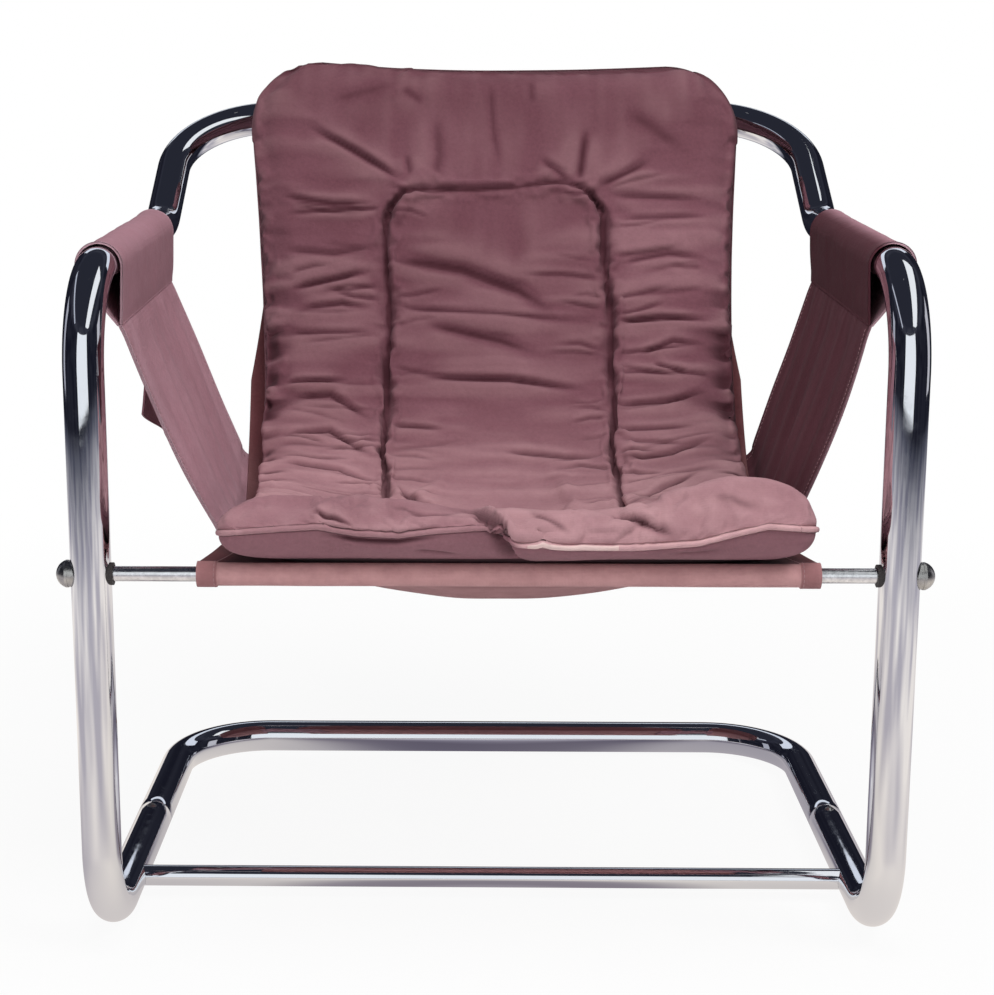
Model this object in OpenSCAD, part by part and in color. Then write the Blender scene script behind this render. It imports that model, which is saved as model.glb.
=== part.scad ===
// Cantilever lounge chair: a bent tube frame in two halves, a canvas sling between a rod and
// the crossbar, two canvas side straps hung from the arms, and a loose quilted pad.
// Millimetres. +Z is up, the sitter faces -Y, X runs across, and the floor is z = 0.

/* [Main tube] */
// Outside diameter of the main frame tube
tube_d = 32; // [30:1:35]
// Wall of the main frame tube
tube_wall = 1.5; // [1:0.25:2.5]
// Distance between the tube centres of the two legs
leg_spacing = 634; // [600:2:680]
// Height of the arm tube centre at the front corner of the arm
arm_height = 552; // [520:2:600]
// Rise of the arm from its front corner to its rear kink
arm_rise = 14; // [0:1:30]
// Length of the arm in plan, from the legs to the kink
arm_length = 409; // [395:1:430]
// Depth from the legs to the crossbar behind the sitter's back
back_depth = 577; // [560:1:620]
// Height of the crossbar centre
back_height = 664; // [640:2:720]
// Depth from the legs to the rear floor tube
base_depth = 494; // [470:2:560]
// Bend radius at the front of each arm
arm_bend_r = 77; // [60:1:90]
// Bend radius at the rear kink of each arm
kink_bend_r = 64; // [50:1:80]
// Bend radius at each end of the crossbar
crossbar_bend_r = 97; // [80:1:105]
// Bend radius at the foot of each leg
foot_bend_r = 70; // [60:1:90]
// Bend radius at the rear corners of the floor frame
rear_bend_r = 89; // [70:1:100]

/* [Frame joints] */
// Depth from the legs to the butt joints in the floor tubes
joint_depth = 254; // [230:1:280]
// Gap between the tube ends at each joint
joint_gap = 0.5; // [0.2:0.1:1]
// Length of the spigot inside each joint
spigot_length = 90; // [60:2:120]
// Wall of the spigot
spigot_wall = 3; // [2:0.5:4]
// Diameter of the joint screw shank
screw_d = 5; // [4:0.5:6]
// Length of the joint screw under its head
screw_length = 11; // [8:1:14]
// Diameter of the joint screw head
screw_head_d = 9; // [8:0.5:10]
// Height of the joint screw head
screw_head_h = 2.6; // [2:0.1:3.5]
// Distance of the screw from the tube end that it holds
screw_setback = 11; // [9:1:20]

/* [Floor stretcher] */
// Outside diameter of the thin stretcher between the floor tubes
stretcher_d = 18; // [14:1:22]
// Wall of the stretcher
stretcher_wall = 1.5; // [1:0.25:2]
// Depth from the legs to the stretcher
stretcher_depth = 115; // [90:1:130]

/* [Glides] */
// Diameter of the floor glides
glide_d = 16; // [12:1:20]
// Height by which the glides stand below the tube
glide_drop = 3; // [2:0.5:5]
// Height of the saddle that hugs the tube
glide_saddle = 2; // [1:0.5:3]
// Diameter of the stem that holds a glide in the tube
stem_d = 6; // [4:0.5:8]
// Length of the stem above the tube's outer surface
stem_length = 8; // [5:1:12]
// Depth from the legs to the front glides
front_glide_depth = 155; // [145:1:175]
// Distance from the rear glides to the rear bends
rear_glide_setback = 35; // [20:1:65]

/* [Seat rod] */
// Diameter of the rod that carries the front of the sling
rod_d = 12; // [10:1:14]
// Height of the rod centre
rod_height = 320; // [300:2:340]
// Diameter of the threaded ends of the rod
thread_d = 9; // [8:0.5:10]
// Diameter of the domed cap nuts
cap_d = 22; // [20:1:26]
// Height of the domed cap nuts
cap_h = 10; // [8:0.5:12]
// Height of the straight rim of the cap nuts
cap_rim = 2; // [1:0.5:3]
// Diameter of the saddle washers under the cap nuts
washer_d = 21; // [18:1:24]
// Thickness of the saddle washers over the crown of the tube
washer_t = 1.5; // [1:0.5:3]
// Diameter of the grommets where the rod enters the legs
grommet_d = 18; // [16:1:22]
// Thickness of the grommets over the crown of the tube
grommet_t = 2; // [1:0.5:4]

/* [Canvas] */
// Thickness of the doubled canvas
canvas_t = 2; // [1.5:0.25:3]
// Length of bare rod beside each leg, with the canvas in the middle
bare_rod = 57; // [50:1:66]
// How far each side of the sling is drawn in at the seat
seat_draw_in = 14; // [0:1:16]
// How far each side of the sling is drawn in at the back
back_draw_in = 4; // [0:1:9]
// Distance from the sling to each bend of the crossbar
top_margin = 5; // [5:1:20]
// How far the canvas has slid sideways along the rod
slide_front = 11; // [0:1:14]
// How far the canvas has slid sideways along the crossbar
slide_back = 4; // [0:1:5]
// Slope of the sling where it leaves the rod, in degrees
seat_angle = 30; // [24:1:34]
// Slope of the sling where it reaches the crossbar, in degrees
back_angle = 68; // [62:1:72]
// How far the seat pulls on the curve of the sling
seat_pull = 240; // [200:5:260]
// How far the back pulls on the curve of the sling
back_pull = 500; // [460:5:520]
// Rise of the side edges over the middle of the seat
side_rise = 50; // [30:2:60]
// Width of the stitched hems at the ends of the rod pocket
hem_w = 16; // [10:1:20]
// Slack of the canvas round the rod
pocket_slack = 1.5; // [1:0.25:2.5]

/* [Side straps] */
// Distance along the arm from its front corner to the sleeve
sleeve_start = 78; // [76:1:90]
// Length of the sleeve along the arm
sleeve_length = 272; // [250:1:290]
// Distance from the arm tube centre down to the seam that closes the sleeve
seam_drop = 48; // [44:1:56]
// Distance by which that seam lies inside the arm
seam_inset = 15; // [8:1:18]
// Width of the hem by which a strap laps under the sling
strap_lap = 26; // [16:1:34]
// Length of the loose flap below the seam at its front edge
flap_front_drop = 108; // [80:1:120]
// Length of the loose flap below the seam at its rear edge
flap_rear_drop = 150; // [120:1:160]
// Width of the loose flap along the arm
flap_w = 116; // [90:1:140]

/* [Pad] */
// Thickness of the pad
pad_t = 50; // [40:1:60]
// Thickness of the pad at its front
pad_front_t = 38; // [36:1:50]
// Length over which the pad thins towards its front
pad_taper = 150; // [100:10:250]
// Distance from each side of the pad's front to the ends of the rod pocket
pad_front_margin = 13; // [8:1:24]
// How far each side of the pad's top reaches past the ends of the rod pocket
pad_top_reach = 5; // [0:1:8]
// How far the front of the pad has slid sideways on the canvas
pad_slide = 6; // [0:1:8]
// How far each side of the pad is drawn in between its corners
pad_draw_in = 19; // [12:1:22]
// How far the pad reaches in front of the rod, along its underside
pad_lip = 42; // [30:1:50]
// How far the pad stands above the crossbar, along its underside
pad_head = 31; // [26:1:50]
// How far the top corners stand above the middle of the top edge
pad_ear = 9; // [0:1:16]
// Radius of the top corners in plan
pad_corner_r = 75; // [60:1:80]
// Width over which the edges of the pad round off
pad_edge = 34; // [26:1:40]
// Slope at which the front of the pad runs out over the rod, in degrees
lip_angle = 12; // [4:1:24]
// Height of the edge seam, as a share of the pad's thickness
pad_seam_share = 0.45; // [0.3:0.05:0.6]
// Thickness of the edge seam
pad_seam_t = 5; // [4:0.5:8]
// Depth of the sewn channel round the inner panel
channel_depth = 15; // [8:1:20]
// Half width of the sewn channel
channel_half = 11; // [8:1:14]
// Width of the inner panel
panel_w = 216; // [200:2:230]
// Radius of the upper corners of the inner panel
panel_corner_r = 38; // [30:1:45]
// Distance from the top edge of the pad down to the inner panel
panel_top = 134; // [110:1:140]
// Thickness of the quilted cover over the filling
cover_t = 4; // [3:0.5:6]

/* [Hidden] */
$fn = 96;

// Clearances and overruns
fit_gap = 0.15;      // between a spigot and the bore round it
hole_gap = 0.2;      // between a shank, stem or rod and its hole
seat_gap = 0.05;     // between a piece and the curved face that it sits on
sleeve_gap = 0.3;    // between the canvas and the tube inside it
lap_gap = 1.2;       // between the strap hem and the sling above it
pad_gap = 3.5;       // between the pad and the sling
pocket_sink = 0.3;   // how deep the sheet starts inside the canvas of its pocket
overrun = 1;         // of every cut past the face that it opens
weld_run = 0.8;      // by which a straight of tube runs into a bend
weld_step = 0.05;    // by which a bend is fatter than its straights

// Frame
tube_r = tube_d / 2;
bore_r = tube_r - tube_wall;
leg_x = leg_spacing / 2;
foot_z = glide_drop + tube_r;
rear_glide_depth = base_depth - rear_bend_r - rear_glide_setback;
pocket_front_r = rod_d / 2 + pocket_slack + canvas_t;
pocket_back_r = tube_r + sleeve_gap + canvas_t;
front_mid_r = pocket_front_r - canvas_t / 2 - pocket_sink;
back_mid_r = pocket_back_r - canvas_t / 2 - pocket_sink;
pad_base = canvas_t / 2 + pad_gap;
pad_seam_h = pad_t * pad_seam_share;
pad_front_reach = pad_lip * cos(lip_angle) - front_mid_r * sin(seat_angle)
    - (pad_base + pad_seam_h - pad_seam_t / 2) * sin(lip_angle);
leg_y = -(back_depth + pocket_back_r - pad_front_reach) / 2;
joint_y = leg_y + joint_depth;
arm_angle = atan(arm_rise / arm_length);

upper_left = [[-leg_x, joint_y, foot_z], [-leg_x, leg_y, foot_z], [-leg_x, leg_y, arm_height],
    [-leg_x, leg_y + arm_length, arm_height + arm_rise],
    [-leg_x, leg_y + back_depth, back_height]];
upper_radii = [foot_bend_r, arm_bend_r, kink_bend_r, crossbar_bend_r,
    crossbar_bend_r, kink_bend_r, arm_bend_r, foot_bend_r];
base_left = [[-leg_x, joint_y + joint_gap, foot_z], [-leg_x, leg_y + base_depth, foot_z]];
base_radii = [rear_bend_r, rear_bend_r];

// Joint, rod and glide sizes
spigot_r = bore_r - fit_gap;
screw_y = joint_y - screw_setback;
head_r = screw_head_d / 2;
head_sink = tube_r - sqrt(tube_r * tube_r - pow(head_r + hole_gap, 2));
head_z = foot_z + tube_r - head_sink;
recess_w = screw_head_d / 7;
recess_l = screw_head_d / 2;
recess_h = screw_head_h / 2;
rod_r = rod_d / 2;
thread_r = thread_d / 2;
rod_shoulder_x = leg_x + tube_r - washer_t / 3;
washer_x = leg_x + tube_r + washer_t;
thread_reach = cap_h * 2 / 3;
glide_stem_z = glide_drop + stem_length;

// Side curve of the sling, as [depth from the legs, height], from the rod to the crossbar
front_dir = [cos(seat_angle), -sin(seat_angle)];
back_dir = [cos(back_angle), sin(back_angle)];
function left_normal(d) = [-d.y, d.x];
curve_a = [0, rod_height] + front_mid_r * left_normal(front_dir);
curve_d = [back_depth, back_height] + back_mid_r * left_normal(back_dir);
curve_b = curve_a + seat_pull * front_dir;
curve_c = curve_d - back_pull * back_dir;
function curve(t) = pow(1 - t, 3) * curve_a + 3 * t * pow(1 - t, 2) * curve_b
    + 3 * t * t * (1 - t) * curve_c + pow(t, 3) * curve_d;
function unit(v) = v / norm(v);
function curve_dir(t) = unit(pow(1 - t, 2) * (curve_b - curve_a)
    + 2 * t * (1 - t) * (curve_c - curve_b) + t * t * (curve_d - curve_c));
curve_steps = 48;
function length_to(i) = i == 0 ? 0
    : length_to(i - 1) + norm(curve(i / curve_steps) - curve((i - 1) / curve_steps));
curve_table = [for (i = [0:curve_steps]) [length_to(i), i / curve_steps]];
sling_length = curve_table[curve_steps][0];
function share_at(d) = lookup(d, curve_table);

// Point on the middle of the sling at distance d along it, at x across it, raised by h
lip_dir = [cos(lip_angle), -sin(lip_angle)];
function rail_dir(d) = d < 0 ? lip_dir : d > sling_length ? back_dir : curve_dir(share_at(d));
function rail(d) = d < 0 ? curve_a + d * lip_dir
    : d > sling_length ? curve_d + (d - sling_length) * back_dir : curve(share_at(d));
rise_peak = 0.57;
function rise_share(t) = sin(180 * t) * (1 - t) / rise_peak;
function sling_rise(d, x) = d <= 0 || d >= sling_length ? 0
    : side_rise * rise_share(share_at(d)) * pow(2 * x / sling_seat_w, 2);
function slide_at(d) = slide_front + (slide_back - slide_front) * share_at(min(max(d, 0), sling_length));
function cloth_at(d, x, h, side = -1) = let (
    p = rail(d) + (h + sling_rise(d, x)) * left_normal(rail_dir(d)))
    [x - side * slide_at(d), leg_y + p.x, p.y];

// Sling grid
sling_front_w = leg_spacing - tube_d - 2 * bare_rod;
sling_seat_w = sling_front_w - 2 * seat_draw_in;
sling_back_w = sling_front_w - 2 * back_draw_in;
sling_top_w = leg_spacing - 2 * crossbar_bend_r - 2 * top_margin;
sling_width_shares = [[0, sling_front_w], [0.4, sling_seat_w], [0.75, sling_back_w], [1, sling_top_w]];
function sling_half(d) = lookup(share_at(d), sling_width_shares) / 2;
sling_rows = 24;
sling_across_shares = [-1, -0.94, -0.8, -0.6, -0.4, -0.2, 0, 0.2, 0.4, 0.6, 0.8, 0.94, 1];

// Side strap grid, from the sleeve's seam down to the lap under the sling
strap_cols = 8;
strap_front_share = 0.22;
strap_rear_share = 0.63;
strap_row_shares = [0, 0.25, 0.5, 0.75, 1];
sleeve_outer_r = tube_r + sleeve_gap + canvas_t;
sleeve_inner_r = tube_r + sleeve_gap;
seam_distance = norm([seam_inset, seam_drop]);
seam_tilt = atan2(-seam_drop, seam_inset);

// Pad
pad_start = -pad_lip;
pad_end = sling_length + pad_head;
pad_length = pad_end - pad_start;
pad_crown = pad_t / 10;
panel_half = panel_w / 2;
panel_end = pad_end - panel_top;
front_corner_r = pad_corner_r / 5;
pad_front_w = sling_front_w - 2 * pad_front_margin;
pad_top_w = sling_front_w + 2 * pad_top_reach;
pad_across_shares = [-1, -0.93, -0.8, -0.64, -0.535, -0.48, -0.425, -0.2, 0,
    0.2, 0.425, 0.48, 0.535, 0.64, 0.8, 0.93, 1];
edge_row_shares = [0, 0.05, 0.18, 0.42, 1];
pad_mid_rows = 12;
filling_low_rows = 10;
filling_top_rows = 3;

// Bent tubes

function run_dir(p, q) = (q - p) / norm(q - p);
function bend_trim(a, b, c, bend_r) = bend_r * tan(acos(run_dir(a, b) * run_dir(b, c)) / 2);
function mirror_x(p) = [-p.x, p.y, p.z];
function closed_path(left) = concat(left, [for (i = [len(left) - 1:-1:0]) mirror_x(left[i])]);

// Round bar from p to q
module bar(p, q, r) {
    d = q - p;
    translate(p) rotate([0, acos(d.z / norm(d)), atan2(d.y, d.x)]) cylinder(r = r, h = norm(d));
}

// Bend of a round bar at b, on the way from a to c
module elbow(a, b, c, bend_r, r) {
    u = run_dir(a, b);
    v = run_dir(b, c);
    inward = unit(v - (u * v) * u);
    centre = b - bend_trim(a, b, c, bend_r) * u + bend_r * inward;
    axis = cross(-inward, u);
    multmatrix([[-inward.x, u.x, axis.x, centre.x], [-inward.y, u.y, axis.y, centre.y],
            [-inward.z, u.z, axis.z, centre.z], [0, 0, 0, 1]])
        rotate_extrude(angle = acos(u * v)) translate([bend_r, 0]) circle(r = r);
}

// Round bar of radius r along the points, with a bend at each inner point. The straights run a
// little way into the bends, which are fatter by a hair, so that the two become one solid.
module bent_bar(pts, radii, r) {
    last = len(pts) - 1;
    for (i = [0:last - 1]) {
        d = run_dir(pts[i], pts[i + 1]);
        from = i == 0 ? pts[0]
            : pts[i] + (bend_trim(pts[i - 1], pts[i], pts[i + 1], radii[i - 1]) - weld_run) * d;
        to = i == last - 1 ? pts[last]
            : pts[i + 1] - (bend_trim(pts[i], pts[i + 1], pts[i + 2], radii[i]) - weld_run) * d;
        bar(from, to, r);
    }
    for (i = [1:last - 1]) elbow(pts[i - 1], pts[i], pts[i + 1], radii[i - 1], r + weld_step);
}

// The same points with both open ends moved outwards by the overrun
function with_overrun(pts) = let (last = len(pts) - 1) [for (i = [0:last])
    i == 0 ? pts[0] - overrun * run_dir(pts[0], pts[1])
    : i == last ? pts[last] + overrun * run_dir(pts[last - 1], pts[last]) : pts[i]];

module bent_tube(pts, radii) {
    difference() {
        bent_bar(pts, radii, tube_r);
        bent_bar(with_overrun(pts), radii, bore_r);
    }
}

// A cylinder drawn along +Z is laid along +X by this
module across(x, y, z) translate([x, y, z]) rotate([0, 90, 0]) children();

module both_sides() {
    children();
    mirror([1, 0, 0]) children();
}

module on_side(side) {
    if (side > 0) mirror([1, 0, 0]) children();
    else children();
}

// Holes for the stems of the glides at a depth from the legs
module stem_holes(depth) both_sides() translate([-leg_x, leg_y + depth, 0])
    cylinder(d = stem_d + 2 * hole_gap, h = foot_z);

// Pieces of the frame

module upper_frame_tube() color("silver") difference() {
    bent_tube(closed_path(upper_left), upper_radii);
    both_sides() across(-leg_x - tube_r - overrun, leg_y, rod_height)
        cylinder(r = rod_r + hole_gap, h = tube_d + 2 * overrun);
    both_sides() translate([-leg_x, screw_y, foot_z]) {
        cylinder(d = screw_d + 2 * hole_gap, h = tube_r + overrun);
        translate([0, 0, head_z - foot_z]) cylinder(r = head_r + hole_gap, h = head_sink + overrun);
    }
    stem_holes(front_glide_depth);
}

module rear_base_tube() color("silver") difference() {
    bent_tube(closed_path(base_left), base_radii);
    stem_holes(rear_glide_depth);
}

module joint_spigot(side) color("dimgray") on_side(side) translate([-leg_x, joint_y, foot_z])
    rotate([90, 0, 0]) difference() {
        cylinder(r = spigot_r, h = spigot_length, center = true);
        cylinder(r = spigot_r - spigot_wall, h = spigot_length + 2 * overrun, center = true);
        translate([0, 0, screw_setback]) rotate([-90, 0, 0]) cylinder(d = screw_d, h = tube_d);
    }

module joint_screws() color("gainsboro") both_sides() translate([-leg_x, screw_y, head_z]) {
    dome_r = (head_r * head_r + screw_head_h * screw_head_h) / (2 * screw_head_h);
    translate([0, 0, -screw_length]) cylinder(d = screw_d, h = screw_length);
    difference() {
        intersection() {
            cylinder(r = head_r, h = screw_head_h);
            translate([0, 0, screw_head_h - dome_r]) sphere(r = dome_r);
        }
        for (turn = [0, 90]) rotate([0, 0, turn]) translate([0, 0, screw_head_h])
            cube([recess_l, recess_w, 2 * recess_h], center = true);
    }
}

module floor_stretcher() color("silver") difference() {
    across(-leg_x, leg_y + stretcher_depth, foot_z) cylinder(d = stretcher_d, h = leg_spacing);
    across(-leg_x - overrun, leg_y + stretcher_depth, foot_z)
        cylinder(r = stretcher_d / 2 - stretcher_wall, h = leg_spacing + 2 * overrun);
    both_sides() bar([-leg_x, leg_y, foot_z], [-leg_x, joint_y, foot_z], tube_r + seat_gap);
}

module floor_glide(side, depth) color("dimgray") on_side(side) translate([-leg_x, leg_y + depth, 0]) {
    difference() {
        cylinder(d = glide_d, h = glide_drop + glide_saddle);
        bar([0, -glide_d, foot_z], [0, glide_d, foot_z], tube_r + seat_gap);
    }
    cylinder(d = stem_d, h = glide_stem_z);
}

module seat_rod() color("silver") {
    across(-rod_shoulder_x, leg_y, rod_height) cylinder(r = rod_r, h = 2 * rod_shoulder_x);
    across(-washer_x - thread_reach, leg_y, rod_height)
        cylinder(r = thread_r, h = 2 * (washer_x + thread_reach));
}

// Ring round the rod between x = from and x = to, cut to the round of the leg
module saddle_ring(d, from, to) difference() {
    across(from, leg_y, rod_height) cylinder(d = d, h = to - from);
    across(from - overrun, leg_y, rod_height) cylinder(r = rod_r + hole_gap, h = to - from + 2 * overrun);
    translate([-leg_x, leg_y, rod_height - d]) cylinder(r = tube_r + seat_gap, h = 2 * d);
}

module rod_grommets() color("black") both_sides()
    saddle_ring(grommet_d, -leg_x, -leg_x + tube_r + grommet_t);

module saddle_washers() color("gainsboro") both_sides()
    saddle_ring(washer_d, -washer_x, -leg_x);

module rod_cap_nuts() color("gainsboro") both_sides()
    translate([-washer_x, leg_y, rod_height]) rotate([0, -90, 0]) {
        dome_h = cap_h - cap_rim;
        dome_r = (pow(cap_d / 2, 2) + dome_h * dome_h) / (2 * dome_h);
        difference() {
            union() {
                cylinder(d = cap_d, h = cap_rim);
                intersection() {
                    cylinder(d = cap_d, h = cap_h);
                    translate([0, 0, cap_h - dome_r]) sphere(r = dome_r);
                }
            }
            translate([0, 0, -overrun]) cylinder(r = thread_r, h = thread_reach + overrun);
        }
    }

// Canvas

function flat_list(rows) = [for (row = rows) for (p = row) p];
function cell(a, b, c, d, turned) = turned ? [[b, c, d], [b, d, a]] : [[a, b, c], [a, c, d]];

// Closed sheet between two grids of points with equal rows and columns
module slab(top, bottom) {
    rows = len(top);
    cols = len(top[0]);
    low = rows * cols;
    half = (cols - 1) / 2;
    cells = [
        for (i = [0:rows - 2]) for (j = [0:cols - 2]) let (a = i * cols + j)
            each concat(cell(a, a + cols, a + cols + 1, a + 1, j >= half),
                cell(low + a, low + a + 1, low + a + cols + 1, low + a + cols, j < half)),
        for (i = [0:rows - 2]) let (a = i * cols, b = a + cols - 1)
            each concat(cell(a, low + a, low + a + cols, a + cols, true),
                cell(b + cols, low + b + cols, low + b, b, false)),
        for (j = [0:cols - 2]) let (b = (rows - 1) * cols + j)
            each concat(cell(j + 1, low + j + 1, low + j, j, j >= half),
                cell(b, low + b, low + b + 1, b + 1, j >= half))];
    polyhedron(points = concat(flat_list(top), flat_list(bottom)), faces = cells, convexity = 6);
}

function sling_grid(h) = [for (i = [0:sling_rows]) let (d = sling_length * i / sling_rows)
    [for (s = sling_across_shares) cloth_at(d, s * sling_half(d), h)]];

// Canvas tube round a bar that runs across
module pocket(w, x, depth, z, outer_r, inner_r) across(x - w / 2, leg_y + depth, z) difference() {
    cylinder(r = outer_r, h = w);
    translate([0, 0, -overrun]) cylinder(r = inner_r, h = w + 2 * overrun);
}

module sling() color("rosybrown") {
    slab(sling_grid(canvas_t / 2), sling_grid(-canvas_t / 2));
    pocket(sling_front_w, slide_front, 0, rod_height, pocket_front_r, rod_r + pocket_slack);
    for (end = [-1, 1])
        pocket(hem_w, slide_front + end * (sling_front_w - hem_w) / 2, 0, rod_height,
            pocket_front_r + canvas_t / 2, rod_r + pocket_slack);
    pocket(sling_top_w, slide_back, back_depth, back_height, pocket_back_r, tube_r + sleeve_gap);
}

// Circle of radius r drawn out to a point, for a sleeve closed by a seam
module teardrop(r) {
    reach = seam_distance * r / sleeve_outer_r;
    spread = acos(r / reach);
    circle(r = r);
    polygon([[0, 0], r * [cos(seam_tilt - spread), sin(seam_tilt - spread)],
        reach * [cos(seam_tilt), sin(seam_tilt)],
        r * [cos(seam_tilt + spread), sin(seam_tilt + spread)]]);
}

// Point on the seam line of the left sleeve, as a share of the sleeve's length
function seam_point(share) = let (along = sleeve_start + sleeve_length * share)
    [-leg_x + seam_inset,
        leg_y + along * cos(arm_angle) + seam_drop * sin(arm_angle),
        arm_height + along * sin(arm_angle) - seam_drop * cos(arm_angle)];

function strap_d(share) = lookup(strap_front_share + (strap_rear_share - strap_front_share) * share,
    [for (row = curve_table) [row[1], row[0]]]);
function strap_foot(share, side) = let (d = strap_d(share))
    cloth_at(d, -sling_half(d) - canvas_t * 2, -canvas_t * 1.5, side);
function strap_hem(share, h, side) = let (d = strap_d(share))
    cloth_at(d, -sling_half(d) + strap_lap, -canvas_t - lap_gap + h, side);
strap_lean = 30;
strap_side = [cos(strap_lean), 0, sin(strap_lean)];
function strap_grid(h, side) = concat(
    [for (k = strap_row_shares) [for (j = [0:strap_cols]) let (share = j / strap_cols)
        (1 - k) * seam_point(share) + k * strap_foot(share, side) + h * strap_side]],
    [[for (j = [0:strap_cols]) strap_hem(j / strap_cols, h, side)]]);

module side_strap(side) color("rosybrown") on_side(side) {
    translate([-leg_x, leg_y, arm_height]) rotate([arm_angle, 0, 0])
        translate([0, sleeve_start + sleeve_length, 0]) rotate([90, 0, 0])
            linear_extrude(sleeve_length) difference() {
                teardrop(sleeve_outer_r);
                teardrop(sleeve_inner_r);
            }
    slab(strap_grid(-canvas_t / 2, side), strap_grid(canvas_t / 2, side));
    rear = seam_point(1);
    translate([rear.x - canvas_t, rear.y, rear.z]) rotate([90, 0, 90])
        linear_extrude(canvas_t) polygon([[-flap_w, canvas_t], [0, canvas_t], [0, -flap_rear_drop],
            [-flap_w, -flap_front_drop]]);
}

// Pad

// Distance from a point to the outline of the inner panel, which is open at the front
function panel_gap(x, d) = let (qx = abs(x) - panel_half + panel_corner_r,
    qy = d - panel_end + panel_corner_r)
    abs(min(max(qx, qy), 0) + norm([max(qx, 0), max(qy, 0)]) - panel_corner_r);
function channel(x, d) = channel_depth * exp(-pow(panel_gap(x, d) / channel_half, 2));

function rounding(gap, r) = gap >= r ? 0 : r - sqrt(r * r - pow(r - max(gap, 0), 2));
function pad_width(d) = let (share = (d - pad_start) / pad_length)
    pad_front_w + (pad_top_w - pad_front_w) * share;
function pad_depth(d) = pad_front_t
    + (pad_t - pad_front_t) * min(max((d - pad_start) / pad_taper, 0), 1);
function pad_half(d) = let (share = (d - pad_start) / pad_length)
    pad_width(d) / 2 - pad_draw_in * sin(180 * share)
    - rounding(d - pad_start, front_corner_r) - rounding(pad_end - d, pad_corner_r);
function ear(d, s) = pad_ear * s * s * pow((d - pad_start) / pad_length, 6);

// How full the pad is at a distance from its edge, from 0 at the seam to 1 inside
function fullness(gap) = let (k = 1 - min(max(gap, 0) / pad_edge, 1)) sqrt(1 - k * k);
function edge_gap(d, s, half) = min((1 - abs(s)) * half, d - pad_start, pad_end - d);
function pad_top_h(d, s) = let (half = pad_half(d), full = fullness(edge_gap(d, s, half)))
    pad_seam_h + pad_seam_t / 2
    + (pad_depth(d) - pad_seam_h - pad_seam_t / 2 + pad_crown * (1 - s * s)
        - channel(s * half, d)) * full;
function pad_low_h(d, s) = let (half = pad_half(d), full = fullness(edge_gap(d, s, half)))
    (pad_seam_h - pad_seam_t / 2) * (1 - full);
function pad_point(d, s, h) = let (share = (d - pad_start) / pad_length)
    cloth_at(d + ear(d, s), s * pad_half(d), pad_base + h) + [pad_slide * (1 - share), 0, 0];

pad_rows = concat(
    [for (k = edge_row_shares) pad_start + pad_edge * k],
    [for (i = [0:pad_mid_rows]) (panel_end - channel_half) * i / pad_mid_rows],
    [panel_end, panel_end + channel_half, (panel_end + channel_half + pad_end - pad_edge) / 2],
    [for (i = [4:-1:0]) pad_end - pad_edge * edge_row_shares[i]]);

module pad_shape() slab(
    [for (d = pad_rows) [for (s = pad_across_shares) pad_point(d, s, pad_top_h(d, s))]],
    [for (d = pad_rows) [for (s = pad_across_shares) pad_point(d, s, pad_low_h(d, s))]]);

// Filling: the pad's shape drawn in by the cover, with wider channels, so that it stays inside
filling_shares = [-0.93, -0.72, -0.56, -0.48, -0.4, -0.15, 0.15, 0.4, 0.48, 0.56, 0.72, 0.93];
filling_side = pad_edge / 4;
function filling_drop(x, d) = (channel_depth + cover_t / 2)
    * exp(-pow(panel_gap(x, d) / (2 * channel_half), 2));
function filling_top_h(d, s) = let (half = pad_half(d), full = fullness(edge_gap(d, s, half)))
    pad_seam_h - cover_t / 2
    + (pad_depth(d) - pad_seam_h - cover_t / 2 + pad_crown * (1 - s * s)
        - filling_drop(s * half, d)) * full;
function filling_low_h(d, s) = cover_t + pad_low_h(d, s);
filling_rows = concat(
    [for (i = [0:filling_low_rows]) pad_start + filling_side
        + (panel_end - pad_start - filling_side) * i / filling_low_rows],
    [for (i = [1:filling_top_rows]) panel_end
        + (pad_end - filling_side - panel_end) * i / filling_top_rows]);

module pad_filling_shape() slab(
    [for (d = filling_rows) [for (s = filling_shares) pad_point(d, s, filling_top_h(d, s))]],
    [for (d = filling_rows) [for (s = filling_shares) pad_point(d, s, filling_low_h(d, s))]]);

module pad_cover() color("palevioletred") difference() {
    pad_shape();
    pad_filling_shape();
}

module pad_filling() color("oldlace") pad_filling_shape();

upper_frame_tube();
rear_base_tube();
joint_spigot(-1);  // joint_spigot_left
joint_spigot(1);  // joint_spigot_right
joint_screws();
floor_stretcher();
floor_glide(-1, front_glide_depth);  // floor_glide_front_left
floor_glide(1, front_glide_depth);  // floor_glide_front_right
floor_glide(-1, rear_glide_depth);  // floor_glide_rear_left
floor_glide(1, rear_glide_depth);  // floor_glide_rear_right
seat_rod();
rod_grommets();
saddle_washers();
rod_cap_nuts();
sling();
side_strap(-1);  // side_strap_left
side_strap(1);  // side_strap_right
pad_cover();
pad_filling();
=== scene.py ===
import math

import bpy
import numpy as np
from mathutils import Matrix, Vector


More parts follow.
